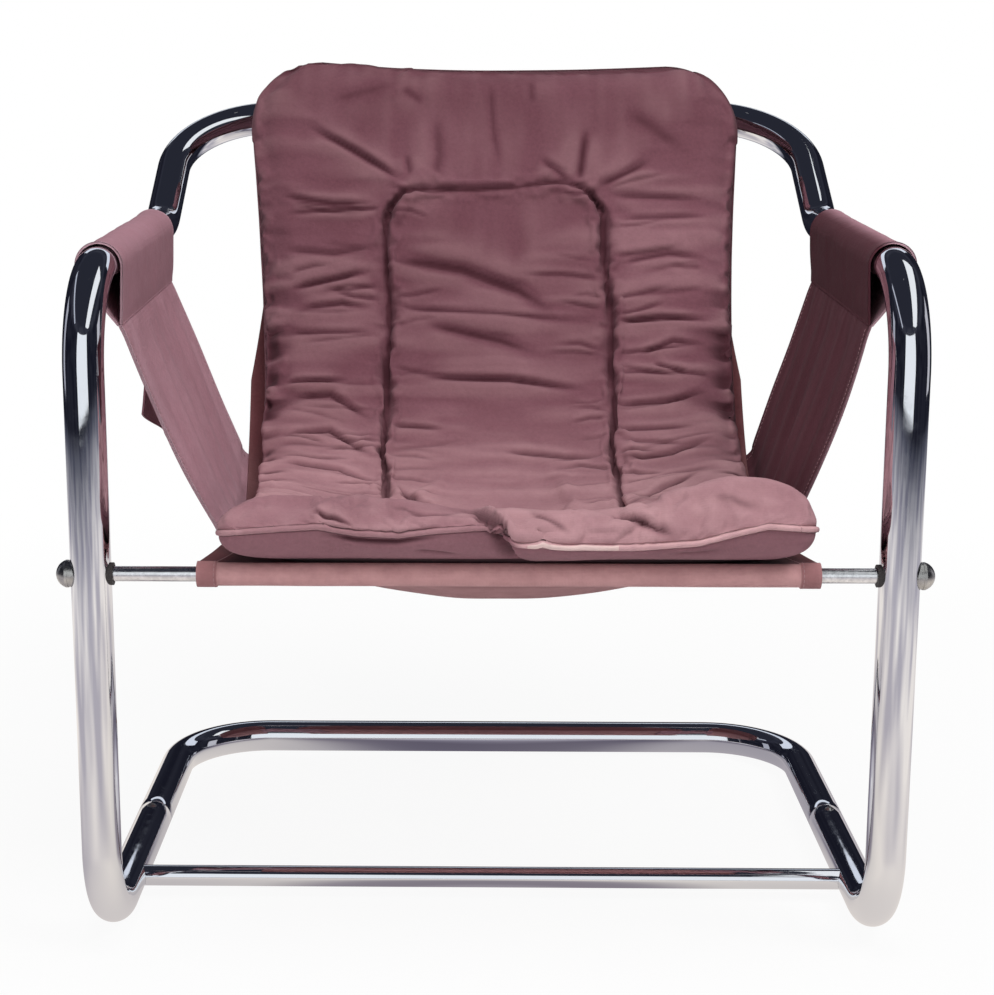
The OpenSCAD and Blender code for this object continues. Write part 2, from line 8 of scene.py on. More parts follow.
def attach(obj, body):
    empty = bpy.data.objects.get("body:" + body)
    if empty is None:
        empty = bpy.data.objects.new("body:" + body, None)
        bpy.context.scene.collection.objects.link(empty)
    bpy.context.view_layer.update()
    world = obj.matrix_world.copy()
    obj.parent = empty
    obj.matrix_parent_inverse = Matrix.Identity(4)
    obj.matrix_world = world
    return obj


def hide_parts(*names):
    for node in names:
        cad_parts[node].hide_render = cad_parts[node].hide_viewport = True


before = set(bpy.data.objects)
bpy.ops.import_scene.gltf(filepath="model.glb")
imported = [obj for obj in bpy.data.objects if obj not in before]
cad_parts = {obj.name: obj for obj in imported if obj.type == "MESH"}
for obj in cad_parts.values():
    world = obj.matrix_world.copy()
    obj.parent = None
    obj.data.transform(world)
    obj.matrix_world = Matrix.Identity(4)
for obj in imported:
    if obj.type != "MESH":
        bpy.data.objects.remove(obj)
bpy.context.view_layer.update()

MM = 0.001

# Named values, in millimetres, as in the part
TUBE_R = 16.0
TUBE_WALL = 1.5
LEG_X = 317.0
ARM_Z = 552.0
ARM_RISE = 14.0
ARM_LEN = 409.0
BACK_Y = 577.0
BACK_Z = 664.0
BASE_Y = 494.0
JOINT_Y = 254.0
JOINT_GAP = 0.5
FOOT_Z = 19.0
ROD_Z = 320.0
ROD_R = 6.0
CANVAS = 2.0
SEAT_ANGLE = math.radians(30)
BACK_ANGLE = math.radians(68)
LIP_ANGLE = math.radians(12)
SEAT_PULL = 240.0
BACK_PULL = 500.0
SIDE_RISE = 50.0
RISE_PEAK = 0.57
SLING_FRONT_W = 488.0
SLING_SEAT_W = 460.0
SLING_BACK_W = 480.0
SLING_TOP_W = 430.0
SLIDE_FRONT = 11.0
SLIDE_BACK = 4.0
POCKET_SLACK = 1.5
SLEEVE_GAP = 0.3
HEM_W = 16.0
SLEEVE_START = 78.0
SLEEVE_LENGTH = 272.0
SEAM_DROP = 48.0
SEAM_INSET = 15.0
STRAP_FRONT_SHARE = 0.22
STRAP_REAR_SHARE = 0.63
STRAP_LAP = 26.0
LAP_GAP = 1.2
FLAP_FRONT_DROP = 108.0
FLAP_REAR_DROP = 150.0
FLAP_W = 116.0
PAD_T = 50.0
PAD_FRONT_T = 38.0
PAD_TAPER = 150.0
PAD_FRONT_W = 462.0
PAD_TOP_W = 498.0
PAD_SLIDE = 6.0
PAD_DRAW = 19.0
PAD_LIP = 42.0
PAD_HEAD = 31.0
PAD_EAR = 9.0
PAD_CORNER = 75.0
PAD_FRONT_CORNER = 15.0
PAD_EDGE = 34.0
PAD_SEAM_H = 22.5
PAD_SEAM_T = 5.0
CHANNEL_DEPTH = 15.0
PANEL_HALF = 108.0
PANEL_CORNER = 38.0
PANEL_TOP = 134.0
POCKET_FRONT_R = ROD_R + POCKET_SLACK + CANVAS
POCKET_BACK_R = TUBE_R + SLEEVE_GAP + CANVAS
FRONT_MID_R = POCKET_FRONT_R - CANVAS / 2 - 0.3
BACK_MID_R = POCKET_BACK_R - CANVAS / 2 - 0.3
PAD_BASE = CANVAS / 2 + 3.5
FRONT_REACH = (
    PAD_LIP * math.cos(LIP_ANGLE)
    - FRONT_MID_R * math.sin(SEAT_ANGLE)
    - (PAD_BASE + PAD_SEAM_H - PAD_SEAM_T / 2) * math.sin(LIP_ANGLE)
)
LEG_Y = -(BACK_Y + POCKET_BACK_R - FRONT_REACH) / 2

# Camera, first
PHOTO_W, PHOTO_H = 994, 995
FOCAL_PX = 1948.38
SENSOR_W = 36.0
EYE = np.array([-18.597, -1484.17 + LEG_Y, 692.497])
YAW, PITCH, ROLL = -0.017871, 0.208643, 0.001259
AXIS_U, AXIS_V = 436.281, 502.118


def make_camera():
    right = np.array([math.cos(YAW), -math.sin(YAW), 0.0])
    ahead = np.array(
        [math.sin(YAW) * math.cos(PITCH), math.cos(YAW) * math.cos(PITCH), -math.sin(PITCH)]
    )
    down = np.cross(ahead, right)
    across = math.cos(ROLL) * right + math.sin(ROLL) * down
    below = -math.sin(ROLL) * right + math.cos(ROLL) * down
    data = bpy.data.cameras.new("photo_camera")
    data.sensor_fit = "HORIZONTAL"
    data.sensor_width = SENSOR_W
    data.lens = FOCAL_PX * SENSOR_W / PHOTO_W
    data.shift_x = (PHOTO_W / 2 - AXIS_U) / PHOTO_W
    data.shift_y = (AXIS_V - PHOTO_H / 2) / PHOTO_W
    data.clip_start = 0.05
    data.clip_end = 60
    cam = bpy.data.objects.new("photo_camera", data)
    bpy.context.scene.collection.objects.link(cam)
    rows = np.stack([across, -below, -ahead, EYE * MM], -1).tolist()
    cam.matrix_world = Matrix(rows + [[0, 0, 0, 1]])
    bpy.context.scene.camera = cam


make_camera()


# Numbers and lines
def smooth(a, b, x):
    """A soft step from 0 at a to 1 at b."""
    t = np.clip((np.asarray(x, float) - a) / (b - a), 0, 1)
    return t * t * (3 - 2 * t)


def between(a, b, c, e, x):
    """1 from b to c, with soft steps that begin at a and end at e."""
    return smooth(a, b, x) * (1 - smooth(c, e, x))


def bell(x, width):
    return np.exp(-((x / width) ** 2))


def unit(v):
    return v / np.linalg.norm(v, axis=-1, keepdims=True)


def run_length(points):
    """Distance along a line of points, or down each column of a grid, from its start."""
    step = np.linalg.norm(np.diff(points, axis=0), axis=-1)
    return np.concatenate([np.zeros_like(step[:1]), np.cumsum(step, axis=0)])


def along_line(s, run, points):
    """Places at distances s along a line of points, with its run length."""
    return np.stack([np.interp(s, run, column) for column in points.T], -1)


# The sling's curve
FRONT_DIR = np.array([math.cos(SEAT_ANGLE), -math.sin(SEAT_ANGLE)])
BACK_DIR = np.array([math.cos(BACK_ANGLE), math.sin(BACK_ANGLE)])
LIP_DIR = np.array([math.cos(LIP_ANGLE), -math.sin(LIP_ANGLE)])


def left(d):
    return np.stack([-d[..., 1], d[..., 0]], -1)


CURVE_A = np.array([0, ROD_Z]) + FRONT_MID_R * left(FRONT_DIR)
CURVE_D = np.array([BACK_Y, BACK_Z]) + BACK_MID_R * left(BACK_DIR)
CURVE_B = CURVE_A + SEAT_PULL * FRONT_DIR
CURVE_C = CURVE_D - BACK_PULL * BACK_DIR


def curve(t):
    t = np.asarray(t, float)[..., None]
    return (
        (1 - t) ** 3 * CURVE_A
        + 3 * t * (1 - t) ** 2 * CURVE_B
        + 3 * t * t * (1 - t) * CURVE_C
        + t**3 * CURVE_D
    )


def curve_dir(t):
    t = np.asarray(t, float)[..., None]
    return unit(
        (1 - t) ** 2 * (CURVE_B - CURVE_A)
        + 2 * t * (1 - t) * (CURVE_C - CURVE_B)
        + t * t * (CURVE_D - CURVE_C)
    )


STEPS = 400
TABLE_T = np.linspace(0, 1, STEPS + 1)
TABLE_L = run_length(curve(TABLE_T))
SLING_LEN = float(TABLE_L[-1])
PAD_START = -PAD_LIP
PAD_END = SLING_LEN + PAD_HEAD
PAD_LEN = PAD_END - PAD_START
PANEL_END = PAD_END - PANEL_TOP


def share_at(d):
    """The curve's own share for a distance along it: 0 before its start, 1 beyond its end."""
    return np.interp(d, TABLE_L, TABLE_T)


def rail(d):
    """The curve, with straight runs before its start and beyond its end."""
    d = np.asarray(d, float)
    p = np.where((d < 0)[..., None], CURVE_A + d[..., None] * LIP_DIR, curve(share_at(d)))
    beyond = (d - SLING_LEN)[..., None]
    return np.where(beyond > 0, CURVE_D + beyond * BACK_DIR, p)


def rail_dir(d):
    """The curve's direction, turned over softly where the lip begins."""
    lip = 1 - smooth(-18, 14, d)[..., None]
    return unit(curve_dir(share_at(d)) * (1 - lip) + LIP_DIR * lip)


def sling_rise(d, x):
    """How far the sling's sides rise over its middle."""
    t = share_at(d)
    bow = np.sin(np.pi * t) * (1 - t) / RISE_PEAK
    return SIDE_RISE * bow * (2 * np.asarray(x) / SLING_SEAT_W) ** 2


def slide_at(d):
    return SLIDE_FRONT + (SLIDE_BACK - SLIDE_FRONT) * share_at(d)


def cloth_at(d, x, h):
    """Points for distance d along the sling, x across it and h above it, in the row frame."""
    d, x, h = np.broadcast_arrays(*(np.asarray(a, float) for a in (d, x, h)))
    p = rail(d) + (h + sling_rise(d, x))[..., None] * left(rail_dir(d))
    return np.stack([x + slide_at(d), LEG_Y + p[..., 0], p[..., 1]], -1)


WIDTH_SHARES = [0, 0.4, 0.75, 1]
WIDTHS = [SLING_FRONT_W, SLING_SEAT_W, SLING_BACK_W, SLING_TOP_W]


def sling_half(d):
    return np.interp(share_at(d), WIDTH_SHARES, WIDTHS) / 2


# Mesh helpers
def plain_object(name, points, faces, material=None):
    """An object in the scene, from points in metres."""
    me = bpy.data.meshes.new(name)
    me.from_pydata(np.reshape(points, (-1, 3)).tolist(), [], faces)
    if material:
        me.materials.append(material)
    ob = bpy.data.objects.new(name, me)
    bpy.context.scene.collection.objects.link(ob)
    return ob


def new_object(name, points, faces, body, material):
    """A smooth mesh piece from points in millimetres, riding on a body."""
    ob = plain_object(name, np.asarray(points, float) * MM, faces, material)
    ob.data.validate()
    ob.data.update()
    ob.data.shade_smooth()
    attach(ob, body)
    return ob


def paint(ob, wear_and_painted_light, deep):
    """Gives each point the two values that the canvas reads: its wear with painted light, and its
    painted shade.
    """
    for label, values in (("wear_and_painted_light", wear_and_painted_light), ("deep", deep)):
        values = np.asarray(values, float)
        ob.data.attributes.new(label, "FLOAT", "POINT").data.foreach_set("value", values)


def grid_faces(rows, cols, first=0, wrap=False, flip=False):
    out = []
    for i in range(rows - 1):
        for j in range(cols if wrap else cols - 1):
            k = (j + 1) % cols
            a, b = first + i * cols + j, first + (i + 1) * cols + j
            c, e = first + (i + 1) * cols + k, first + i * cols + k
            out.append((a, e, c, b) if flip else (a, b, c, e))
    return out


def rim_ids(rows, cols):
    """Numbers of the points round the rim of a grid, in order."""
    ids = np.arange(rows * cols).reshape(rows, cols)
    return np.concatenate([ids[0], ids[1:, -1], ids[-1, -2::-1], ids[-2:0:-1, 0]])


def shell_faces(rows, cols, loops):
    """Faces of two grids of points, one over the other, and of the bands that join their rims."""
    faces = grid_faces(rows, cols) + grid_faces(rows, cols, first=rows * cols, flip=True)
    for p, q in zip(loops[:-1], loops[1:]):
        faces += np.stack([p, q, np.roll(q, -1), np.roll(p, -1)], -1).tolist()
    return faces


def grid_normals(p, up):
    """Unit vectors square to a grid of points, on the side that up points to."""
    n = np.cross(np.gradient(p, axis=0), np.gradient(p, axis=1))
    n /= np.maximum(np.linalg.norm(n, axis=-1, keepdims=True), 1e-9)
    return n if (n * np.asarray(up, float)).sum() > 0 else -n


LATTICE = 128


def value_noise(u, v, seed):
    """Smooth noise from -1 to 1 over a lattice of unit cells."""
    table = np.random.RandomState(seed).uniform(-1, 1, (LATTICE, LATTICE))
    iu, iv = np.floor(u).astype(int), np.floor(v).astype(int)
    fu, fv = u - iu, v - iv
    fu, fv = fu * fu * (3 - 2 * fu), fv * fv * (3 - 2 * fv)

    def row(j):
        near, far = (table[(iu + i) % LATTICE, (iv + j) % LATTICE] for i in (0, 1))
        return near * (1 - fu) + far * fu

    return row(0) * (1 - fv) + row(1) * fv


def fillet_path(pts, radii, step):
    """Points along a bent bar's centre line, in mm, with an even step round the bends."""
    pts = [np.array(p, float) for p in pts]
    out = [pts[0]]
    for a, b, c, r in zip(pts, pts[1:], pts[2:], radii):
        u, v = unit(b - a), unit(c - b)
        ang = math.acos(np.clip(u @ v, -1, 1))
        inward = unit(v - (u @ v) * u)
        centre = b - r * math.tan(ang / 2) * u + r * inward
        n = max(6, int(r * ang / step))
        for k in range(n + 1):
            t = ang * k / n
            out.append(centre - r * inward * math.cos(t) + r * u * math.sin(t))
    out.append(pts[-1])
    return np.array(out)


def resample(path, step):
    """Adds points on the long straight runs, keeping every point of the bends."""
    out = [path[0]]
    for p, q in zip(path[:-1], path[1:]):
        n = max(1, int(round(np.linalg.norm(q - p) / step)))
        for k in range(1, n + 1):
            out.append(p + (q - p) * k / n)
    return np.array(out)


def frames_along(path):
    """Two unit vectors across each place of a path, with no twist."""
    tan = unit(np.gradient(path, axis=0))
    nrm = np.array([1.0, 0, 0]) if abs(tan[0][0]) < 0.9 else np.array([0, 0, 1.0])
    frames = []
    for t in tan:
        nrm = unit(nrm - (nrm @ t) * t)
        frames.append((nrm, np.cross(t, nrm)))
    return np.array(frames)


def rings_round(path, frames, radii, sides):
    """Rings of points round the places of a path."""
    turn = np.arange(sides) * 2 * math.pi / sides
    circles = np.stack([np.cos(turn), np.sin(turn)], -1) @ frames
    return path[:, None] + np.reshape(radii, (-1, 1, 1)) * circles


# Materials
def node_material(name):
    mat = bpy.data.materials.new(name)
    mat.use_nodes = True
    return mat, mat.node_tree, mat.node_tree.nodes["Principled BSDF"]


def feed(nt, socket, value):
    """Gives an input a value or a colour, or links another node's output to it."""
    if isinstance(value, bpy.types.NodeSocket):
        nt.links.new(value, socket)
    else:
        socket.default_value = (*value, 1) if socket.type == "RGBA" else value


def set_up(nt, node, **values):
    """Sets a node's own settings and its inputs by name."""
    for key, value in values.items():
        if hasattr(node, key):
            setattr(node, key, value)
        else:
            feed(nt, node.inputs[key.replace("_", " ")], value)


def add(nt, kind, give=0, numbered=(), **values):
    """Adds a node and returns one of its outputs; numbered inputs are (number, value)."""
    node = nt.nodes.new("ShaderNode" + kind)
    set_up(nt, node, **values)
    for at, value in numbered:
        feed(nt, node.inputs[at], value)
    return node.outputs[give]


def calc(nt, operation, first, second):
    return add(nt, "Math", numbered=((0, first), (1, second)), operation=operation)


def vector_calc(nt, operation, *inputs, give="Vector"):
    return add(nt, "VectorMath", give, enumerate(inputs), operation=operation)


def mixed(nt, share, first, second):
    """A colour that turns from the first to the second by a share."""
    return add(nt, "Mix", 2, ((0, share), (6, first), (7, second)), data_type="RGBA")


def remap(nt, value, start, end, low=0.0, high=1.0, kind="LINEAR"):
    span = {"From_Min": start, "From_Max": end, "To_Min": low, "To_Max": high}
    return add(nt, "MapRange", Value=value, interpolation_type=kind, **span)


def noise(nt, place, scale, detail, rough):
    return add(nt, "TexNoise", "Fac", Vector=place, Scale=scale, Detail=detail, Roughness=rough)


def bump(nt, height, strength, distance, **below):
    return add(nt, "Bump", Height=height, Strength=strength, Distance=distance, **below)


def color_ramp(nt, value, stops):
    """A colour from stops of (place, colour), in rising order."""
    node = nt.nodes.new("ShaderNodeValToRGB")
    elements = node.color_ramp.elements
    elements[0].position, elements[1].position = stops[0][0], stops[-1][0]
    for at, _ in stops[1:-1]:
        elements.new(at)
    for element, (_, shade) in zip(elements, stops):
        element.color = (*shade, 1)
    nt.links.new(value, node.inputs["Fac"])
    return node.outputs["Color"]


def show(nt, shader, output="Material Output"):
    nt.links.new(shader, nt.nodes[output].inputs["Surface"])


def chrome_material():
    mat, nt, bsdf = node_material("polished_chrome")
    place = add(nt, "TexCoord", "Object")
    haze = remap(nt, noise(nt, place, 60.0, 6.0, 0.6), 0.45, 0.75, 0.035, 0.11)
    waves = bump(nt, noise(nt, place, 14.0, 2.0, 0.5), 0.08, 0.002)
    set_up(nt, bsdf, Metallic=1.0, Base_Color=(0.80, 0.81, 0.84), Roughness=haze, Normal=waves)
    return mat


SPECKLE = 220.0


def satin_material(name, color, rough, metallic=1.0):
    """A speckled satin surface, of metal unless metallic is 0."""
    mat, nt, bsdf = node_material(name)
    tex = noise(nt, add(nt, "TexCoord", "Object"), SPECKLE, 4.0, 0.6)
    dark, light = [c * 0.82 for c in color], [min(1, c * 1.08) for c in color]
    shade = color_ramp(nt, tex, [(0.35, dark), (0.65, light)])
    rough = remap(nt, tex, 0.0, 1.0, rough * 0.8, rough * 1.25)
    pits = bump(nt, tex, 0.15, 0.0003)
    set_up(nt, bsdf, Metallic=metallic, Base_Color=shade, Roughness=rough, Normal=pits)
    return mat


WAVE_RATE = 20.0  # Blender's bands run through this many radians a unit at scale 1
THREAD_STEP = 0.0011
# painted shade: the shaded colour is the dark dye times this
FOLD_SHADE_TINT = (0.3, 0.22, 0.24)  # what is left of the dark colour in the deepest folds


def canvas_material(name, light, dark, pale, sheen=0.08):
    """Washed cotton canvas: cloudy dye, a fine plain weave, slubs, pale ridges of wear and painted
    light, and painted shade.
    """
    mat, nt, bsdf = node_material(name)
    place = add(nt, "TexCoord", "Object")
    dye = color_ramp(nt, noise(nt, place, 11.0, 6.0, 0.6), [(0.3, dark), (0.7, light)])
    mottle = noise(nt, place, 300.0, 4.0, 0.7)
    patchy = noise(nt, place, 55.0, 4.0, 0.65)
    grain = remap(nt, mottle, 0.3, 0.7, 0.9, 1.1)
    tinted = add(nt, "VectorMath", operation="SCALE", Vector=dye, Scale=grain)
    # pale wear along ridges and piping, in patches; the same value paints light where pieces are
    # made paler as if lit
    rubbed_and_lit = add(nt, "Attribute", "Fac", attribute_name="wear_and_painted_light")
    rubbed_and_lit = calc(nt, "MULTIPLY", rubbed_and_lit, remap(nt, patchy, 0.35, 0.65, 0.78, 1.0))
    color = mixed(nt, rubbed_and_lit, tinted, pale)
    # painted shade: folds, seam grooves, the back and places out of the light are darkened
    deep = add(nt, "Attribute", "Fac", attribute_name="deep")
    color = mixed(nt, deep, color, [c * k for c, k in zip(dark, FOLD_SHADE_TINT)])
    # plain weave: two crossed waves, a thread apart
    wave = {"Vector": place, "Scale": 2 * math.pi / (WAVE_RATE * THREAD_STEP)}
    wave |= {"wave_type": "BANDS", "Distortion": 1.5, "Detail": 1.0}
    warp, weft = (add(nt, "TexWave", "Fac", bands_direction=axis, **wave) for axis in "XZ")
    normal = bump(nt, calc(nt, "ADD", warp, weft), 0.25, 0.0004)
    normal = bump(nt, mottle, 0.3, 0.0006, Normal=normal)
    normal = bump(nt, patchy, 0.35, 0.003, Normal=normal)
    set_up(nt, bsdf, Base_Color=color, Roughness=0.92, Normal=normal)
    set_up(nt, bsdf, Sheen_Weight=sheen, Sheen_Roughness=0.55, Specular_IOR_Level=0.12)
    return mat


CHROME = chrome_material()
STEEL = satin_material("satin_steel", (0.52, 0.51, 0.49), 0.32)
ROD_STEEL = satin_material("plated_rod", (0.86, 0.86, 0.87), 0.24)
SPIGOT = satin_material("turned_steel", (0.42, 0.42, 0.43), 0.38)
GLIDE = satin_material("nylon_glide", (0.20, 0.20, 0.195), 0.5, 0.0)
RUBBER = satin_material("black_rubber", (0.035, 0.03, 0.03), 0.6, 0.0)
THREAD = satin_material("sewing_thread", (0.42, 0.24, 0.26), 0.7, 0.0)
PAD_CANVAS = canvas_material(
    "pad_canvas", (0.232, 0.098, 0.124), (0.18, 0.07, 0.09), (0.62, 0.37, 0.385), sheen=0.05
)
PIPING_CANVAS = canvas_material(
    "piping_canvas", (0.60, 0.38, 0.37), (0.48, 0.28, 0.28), (0.76, 0.56, 0.535), sheen=0.05
)
SLING_CANVAS = canvas_material(
    "sling_canvas", (0.24, 0.08, 0.09), (0.175, 0.052, 0.06), (0.66, 0.36, 0.36)
)
STRAP_CANVAS = canvas_material(
    "strap_canvas", (0.37, 0.16, 0.20), (0.28, 0.115, 0.145), (0.56, 0.38, 0.43), sheen=0.03
)

for material, node_names in {
    SPIGOT: ["joint_spigot_left", "joint_spigot_right"],
    STEEL: ["joint_screws", "saddle_washers", "rod_cap_nuts"],
    CHROME: ["floor_stretcher"],
    GLIDE: [f"floor_glide_{end}_{side}" for end in ("front", "rear") for side in ("left", "right")],
    ROD_STEEL: ["seat_rod"],
    RUBBER: ["rod_grommets"],
}.items():
    for node_name in node_names:
        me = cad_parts[node_name].data
        me.materials.clear()
        me.materials.append(material)

# Frame tubes
LEFT_PTS = [
    (-LEG_X, LEG_Y + JOINT_Y, FOOT_Z),
    (-LEG_X, LEG_Y, FOOT_Z),
    (-LEG_X, LEG_Y, ARM_Z),
    (-LEG_X, LEG_Y + ARM_LEN, ARM_Z + ARM_RISE),
    (-LEG_X, LEG_Y + BACK_Y, BACK_Z),
]
LEFT_BENDS = [70, 77, 64, 97]
BASE_LEFT_PTS = [
    (-LEG_X, LEG_Y + JOINT_Y + JOINT_GAP, FOOT_Z),
    (-LEG_X, LEG_Y + BASE_Y, FOOT_Z),
]
BASE_BENDS = [89]
BEND_STEP = 3.0
RUN_STEP = 14.0
TUBE_SIDES = 56
TUBE_CHAMFER = 0.5
BORE_SEEN = 30.0
# A tube's end, from its bore out: distance in from the end, and drop from the outer radius
TUBE_END = np.array(
    [
        (BORE_SEEN, TUBE_WALL),
        (TUBE_CHAMFER, TUBE_WALL),
        (0, TUBE_WALL - 0.3),
        (0, TUBE_CHAMFER),
        (TUBE_CHAMFER * 0.3, TUBE_CHAMFER * 0.3),
        (TUBE_CHAMFER, 0),
    ]
)


def tube_piece(name, left_half, left_bends, node):
    """A smooth open tube, the same on both sides, with rounded ends and a bore."""
    corners = left_half + [(-x, y, z) for x, y, z in reversed(left_half)]
    path = resample(fillet_path(corners, left_bends + left_bends[::-1], BEND_STEP), RUN_STEP)
    run = run_length(path)
    inside, drop = TUBE_END.T
    body = run[(run > 2 * TUBE_CHAMFER) & (run < run[-1] - 2 * TUBE_CHAMFER)]
    at = np.concatenate([inside, body, run[-1] - inside[::-1]])
    radii = TUBE_R - np.concatenate([drop, 0 * body, drop[::-1]])
    points = along_line(at, run, path)
    n = len(inside)
    frames = frames_along(points[n:-n])
    frames = np.concatenate([frames[:1]] * n + [frames] + [frames[-1:]] * n)
    rings = rings_round(points, frames, radii, TUBE_SIDES)
    faces = grid_faces(len(at), TUBE_SIDES, wrap=True)
    ob = new_object(name, rings, faces, "frame", CHROME)
    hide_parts(node)


tube_piece("frame_tube", LEFT_PTS, LEFT_BENDS, "upper_frame_tube")
tube_piece("base_tube", BASE_LEFT_PTS, BASE_BENDS, "rear_base_tube")


# Pad: its outline and heights, from distance d along it and x across it
DROPPED_CORNER = 5
ROLL_BACK = 12
ROLL_WIDTH = 34
LIP_X = [-222, -190, -131, -83, -30, -16, 47, 101, 136, 166, 222]
LIP_LIFT = [1, 6, 3, -1, -4, -8, -8, -3, 9, 17, 19]
SEAM_X = [-222, -197, -153, -125, -90, -60, -20, 0, 40, 90, 139, 170, 192, 222]
SEAM_LIFT = [-2, 0, 3, -2, -3.5, 0, 3, -9, -12.5, -12.5, -9, -1, 4, 2]
EASE = 0.05
PAD_CROWN = PAD_T / 10
CHANNEL_REACH = 6.5


def rounding(gap, r):
    inner = np.sqrt(np.maximum(r * r - (r - np.clip(gap, 0, r)) ** 2, 0))
    return np.where(gap >= r, 0, r - inner)


def pad_half(d):
    share = (d - PAD_START) / PAD_LEN
    width = PAD_FRONT_W + (PAD_TOP_W - PAD_FRONT_W) * share
    return (
        width / 2
        - PAD_DRAW * np.sin(np.pi * share)
        - rounding(d - PAD_START, PAD_FRONT_CORNER)
        - rounding(PAD_END - d, PAD_CORNER)
    )


def pad_depth(d):
    return PAD_FRONT_T + (PAD_T - PAD_FRONT_T) * smooth(PAD_START, PAD_START + PAD_TAPER, d)


def front_share(d, reach):
    """1 at the pad's front edge, fading to 0 over the reach."""
    return 1 - smooth(PAD_START, PAD_START + reach, d)


def seam_height(x, d):
    return PAD_SEAM_H + np.interp(x, SEAM_X, SEAM_LIFT) * front_share(d, 60)


def panel_gap(x, d):
    """Distance from the seam of the inner panel, which is open at the front."""
    sag = 5 * bell(x - 58, 26) - 3 * bell(x + 35, 40)
    wander = 1.6 * np.sin(d / 47.0) + 1.1 * np.sin(d / 19.0 + 1)
    qx = np.abs(x) + np.sign(x) * wander - PANEL_HALF + PANEL_CORNER
    qy = d - PANEL_END - sag + PANEL_CORNER
    out = np.hypot(np.maximum(qx, 0), np.maximum(qy, 0))
    return np.minimum(np.maximum(qx, qy), 0) + out - PANEL_CORNER


def above_panel(x, d):
    """1 over the inner panel's upper end, 0 beside the panel and in it."""
    return smooth(-18, 18, (d - PANEL_END) - (np.abs(x) - PANEL_HALF))


def edge_gap(x, half, d):
    """Distance from the pad's edge, rounded where two sides are equally near."""
    gaps = [half - np.abs(x), d - PAD_START, PAD_END - d]
    total = sum(np.maximum(g, 0.02) ** -5.0 for g in gaps)
    return np.maximum(total**-0.2 - 0.03, 0)


def fullness(gap):
    k = 1 - np.clip(gap / PAD_EDGE, 0, 1)
    return np.sqrt(np.maximum(1 - k * k, 0))


def pad_heights(x, s, d):
    """Heights of the top and of the underside over the sling."""
    full = fullness(edge_gap(x, pad_half(d), d))
    seam = seam_height(x, d)
    channel = CHANNEL_DEPTH * np.exp(-np.abs(panel_gap(x, d)) / CHANNEL_REACH)
    channel = channel * smooth(-16, 20, d)
    channel = channel * (1 - 0.5 * above_panel(x, d))
    lift = np.interp(x, LIP_X, LIP_LIFT) * bell(d + ROLL_BACK, ROLL_WIDTH)
    roll = 4.0 * bell(d + ROLL_BACK, 20) - 6.5 * bell(d - 42, 26)
    rise = pad_depth(d) + PAD_CROWN * (1 - s * s) + lift + roll - channel
    top = seam + PAD_SEAM_T / 2 + np.maximum(rise - seam - PAD_SEAM_T / 2, 0) * full
    low = np.maximum(seam - PAD_SEAM_T / 2, 0) * (1 - full)
    return top, low


def ease(n):
    """n shares from 0 to 1, closer together at both ends."""
    t = np.linspace(0, 1, n)
    first = t * t / (2 * EASE)
    last = 1 - EASE - (1 - t) ** 2 / (2 * EASE)
    f = np.where(t < EASE, first, np.where(t > 1 - EASE, last, t - EASE / 2))
    return f / (1 - EASE)


def pad_grid(rows, cols):
    """Grids of the top and of the underside, with each point's place across and along the pad."""
    d = PAD_START + PAD_LEN * ease(rows)[:, None] * np.ones((1, cols))
    s = -1 + 2 * ease(cols)[None, :] * np.ones((rows, 1))
    x = s * pad_half(d)
    share = (d - PAD_START) / PAD_LEN
    out = d + (PAD_EAR * s * s - DROPPED_CORNER * np.clip(s, 0, 1) ** 2) * share**6
    shift = np.stack([PAD_SLIDE * (1 - share), 0 * s, 0 * s], -1)
    top, low = (cloth_at(out, x, PAD_BASE + h) + shift for h in pad_heights(x, s, d))
    return top, low, x, d


def line_gap(x, y, points):
    """Signed distance from a line of points, and the share along it of the nearest place."""
    points = np.asarray(points, float)
    run = run_length(points)
    best = np.full(np.shape(x), 1e9)
    side = np.zeros(np.shape(x))
    along = np.zeros(np.shape(x))
    for k in range(len(points) - 1):
        p, q = points[k], points[k + 1]
        v = q - p
        n2 = float(v @ v)
        t = np.clip(((x - p[0]) * v[0] + (y - p[1]) * v[1]) / n2, 0, 1)
        gx, gy = x - p[0] - t * v[0], y - p[1] - t * v[1]
        gap = np.hypot(gx, gy)
        near = gap < best
        best = np.where(near, gap, best)
        side = np.where(near, np.sign(gx * v[1] - gy * v[0]), side)
        along = np.where(near, (run[k] + t * math.sqrt(n2)) / run[-1], along)
    return best * side, along


SHOULDER, SHOULDER_REACH = 0.55, 3.2
VALLEY = 1.15
DARKEST_DEPTH = 6


def crease(x, y, points, depth, width):
    """A valley with raised shoulders along a line of points, and the painted shade at its bottom.
    """
    gap, along = line_gap(x, y, points)
    fade = between(0, 0.25, 0.6, 1, along)
    shape = SHOULDER * bell(gap, SHOULDER_REACH * width) - VALLEY * bell(gap, width)
    dark = min(depth / DARKEST_DEPTH, 1) * bell(gap, max(0.42 * width, 2.0))
    return depth * fade * shape, fade * dark


def creases(x, y, folds, scale=1.0):
    """The heights and the painted shade of a list of creases, added up."""
    total = np.zeros((2,) + np.shape(x))
    for points, depth, width in folds:
        total += crease(x, y, points, scale * depth, width)
    return total


CLOTH = {
    "quality": 6,
    "mass": 0.15,
    "tension_stiffness": 20,
    "compression_stiffness": 20,
    "shear_stiffness": 8,
    "bending_stiffness": 0.6,
    "tension_damping": 12,
    "compression_damping": 12,
    "shear_damping": 12,
    "bending_damping": 1.0,
    "vertex_group_mass": "held",
    "use_pressure": True,
    "uniform_pressure_force": 5.0,
    "shrink_min": -0.05,
}
CLOTH_FRAMES = 20
CLOTH_REACH = 7.0


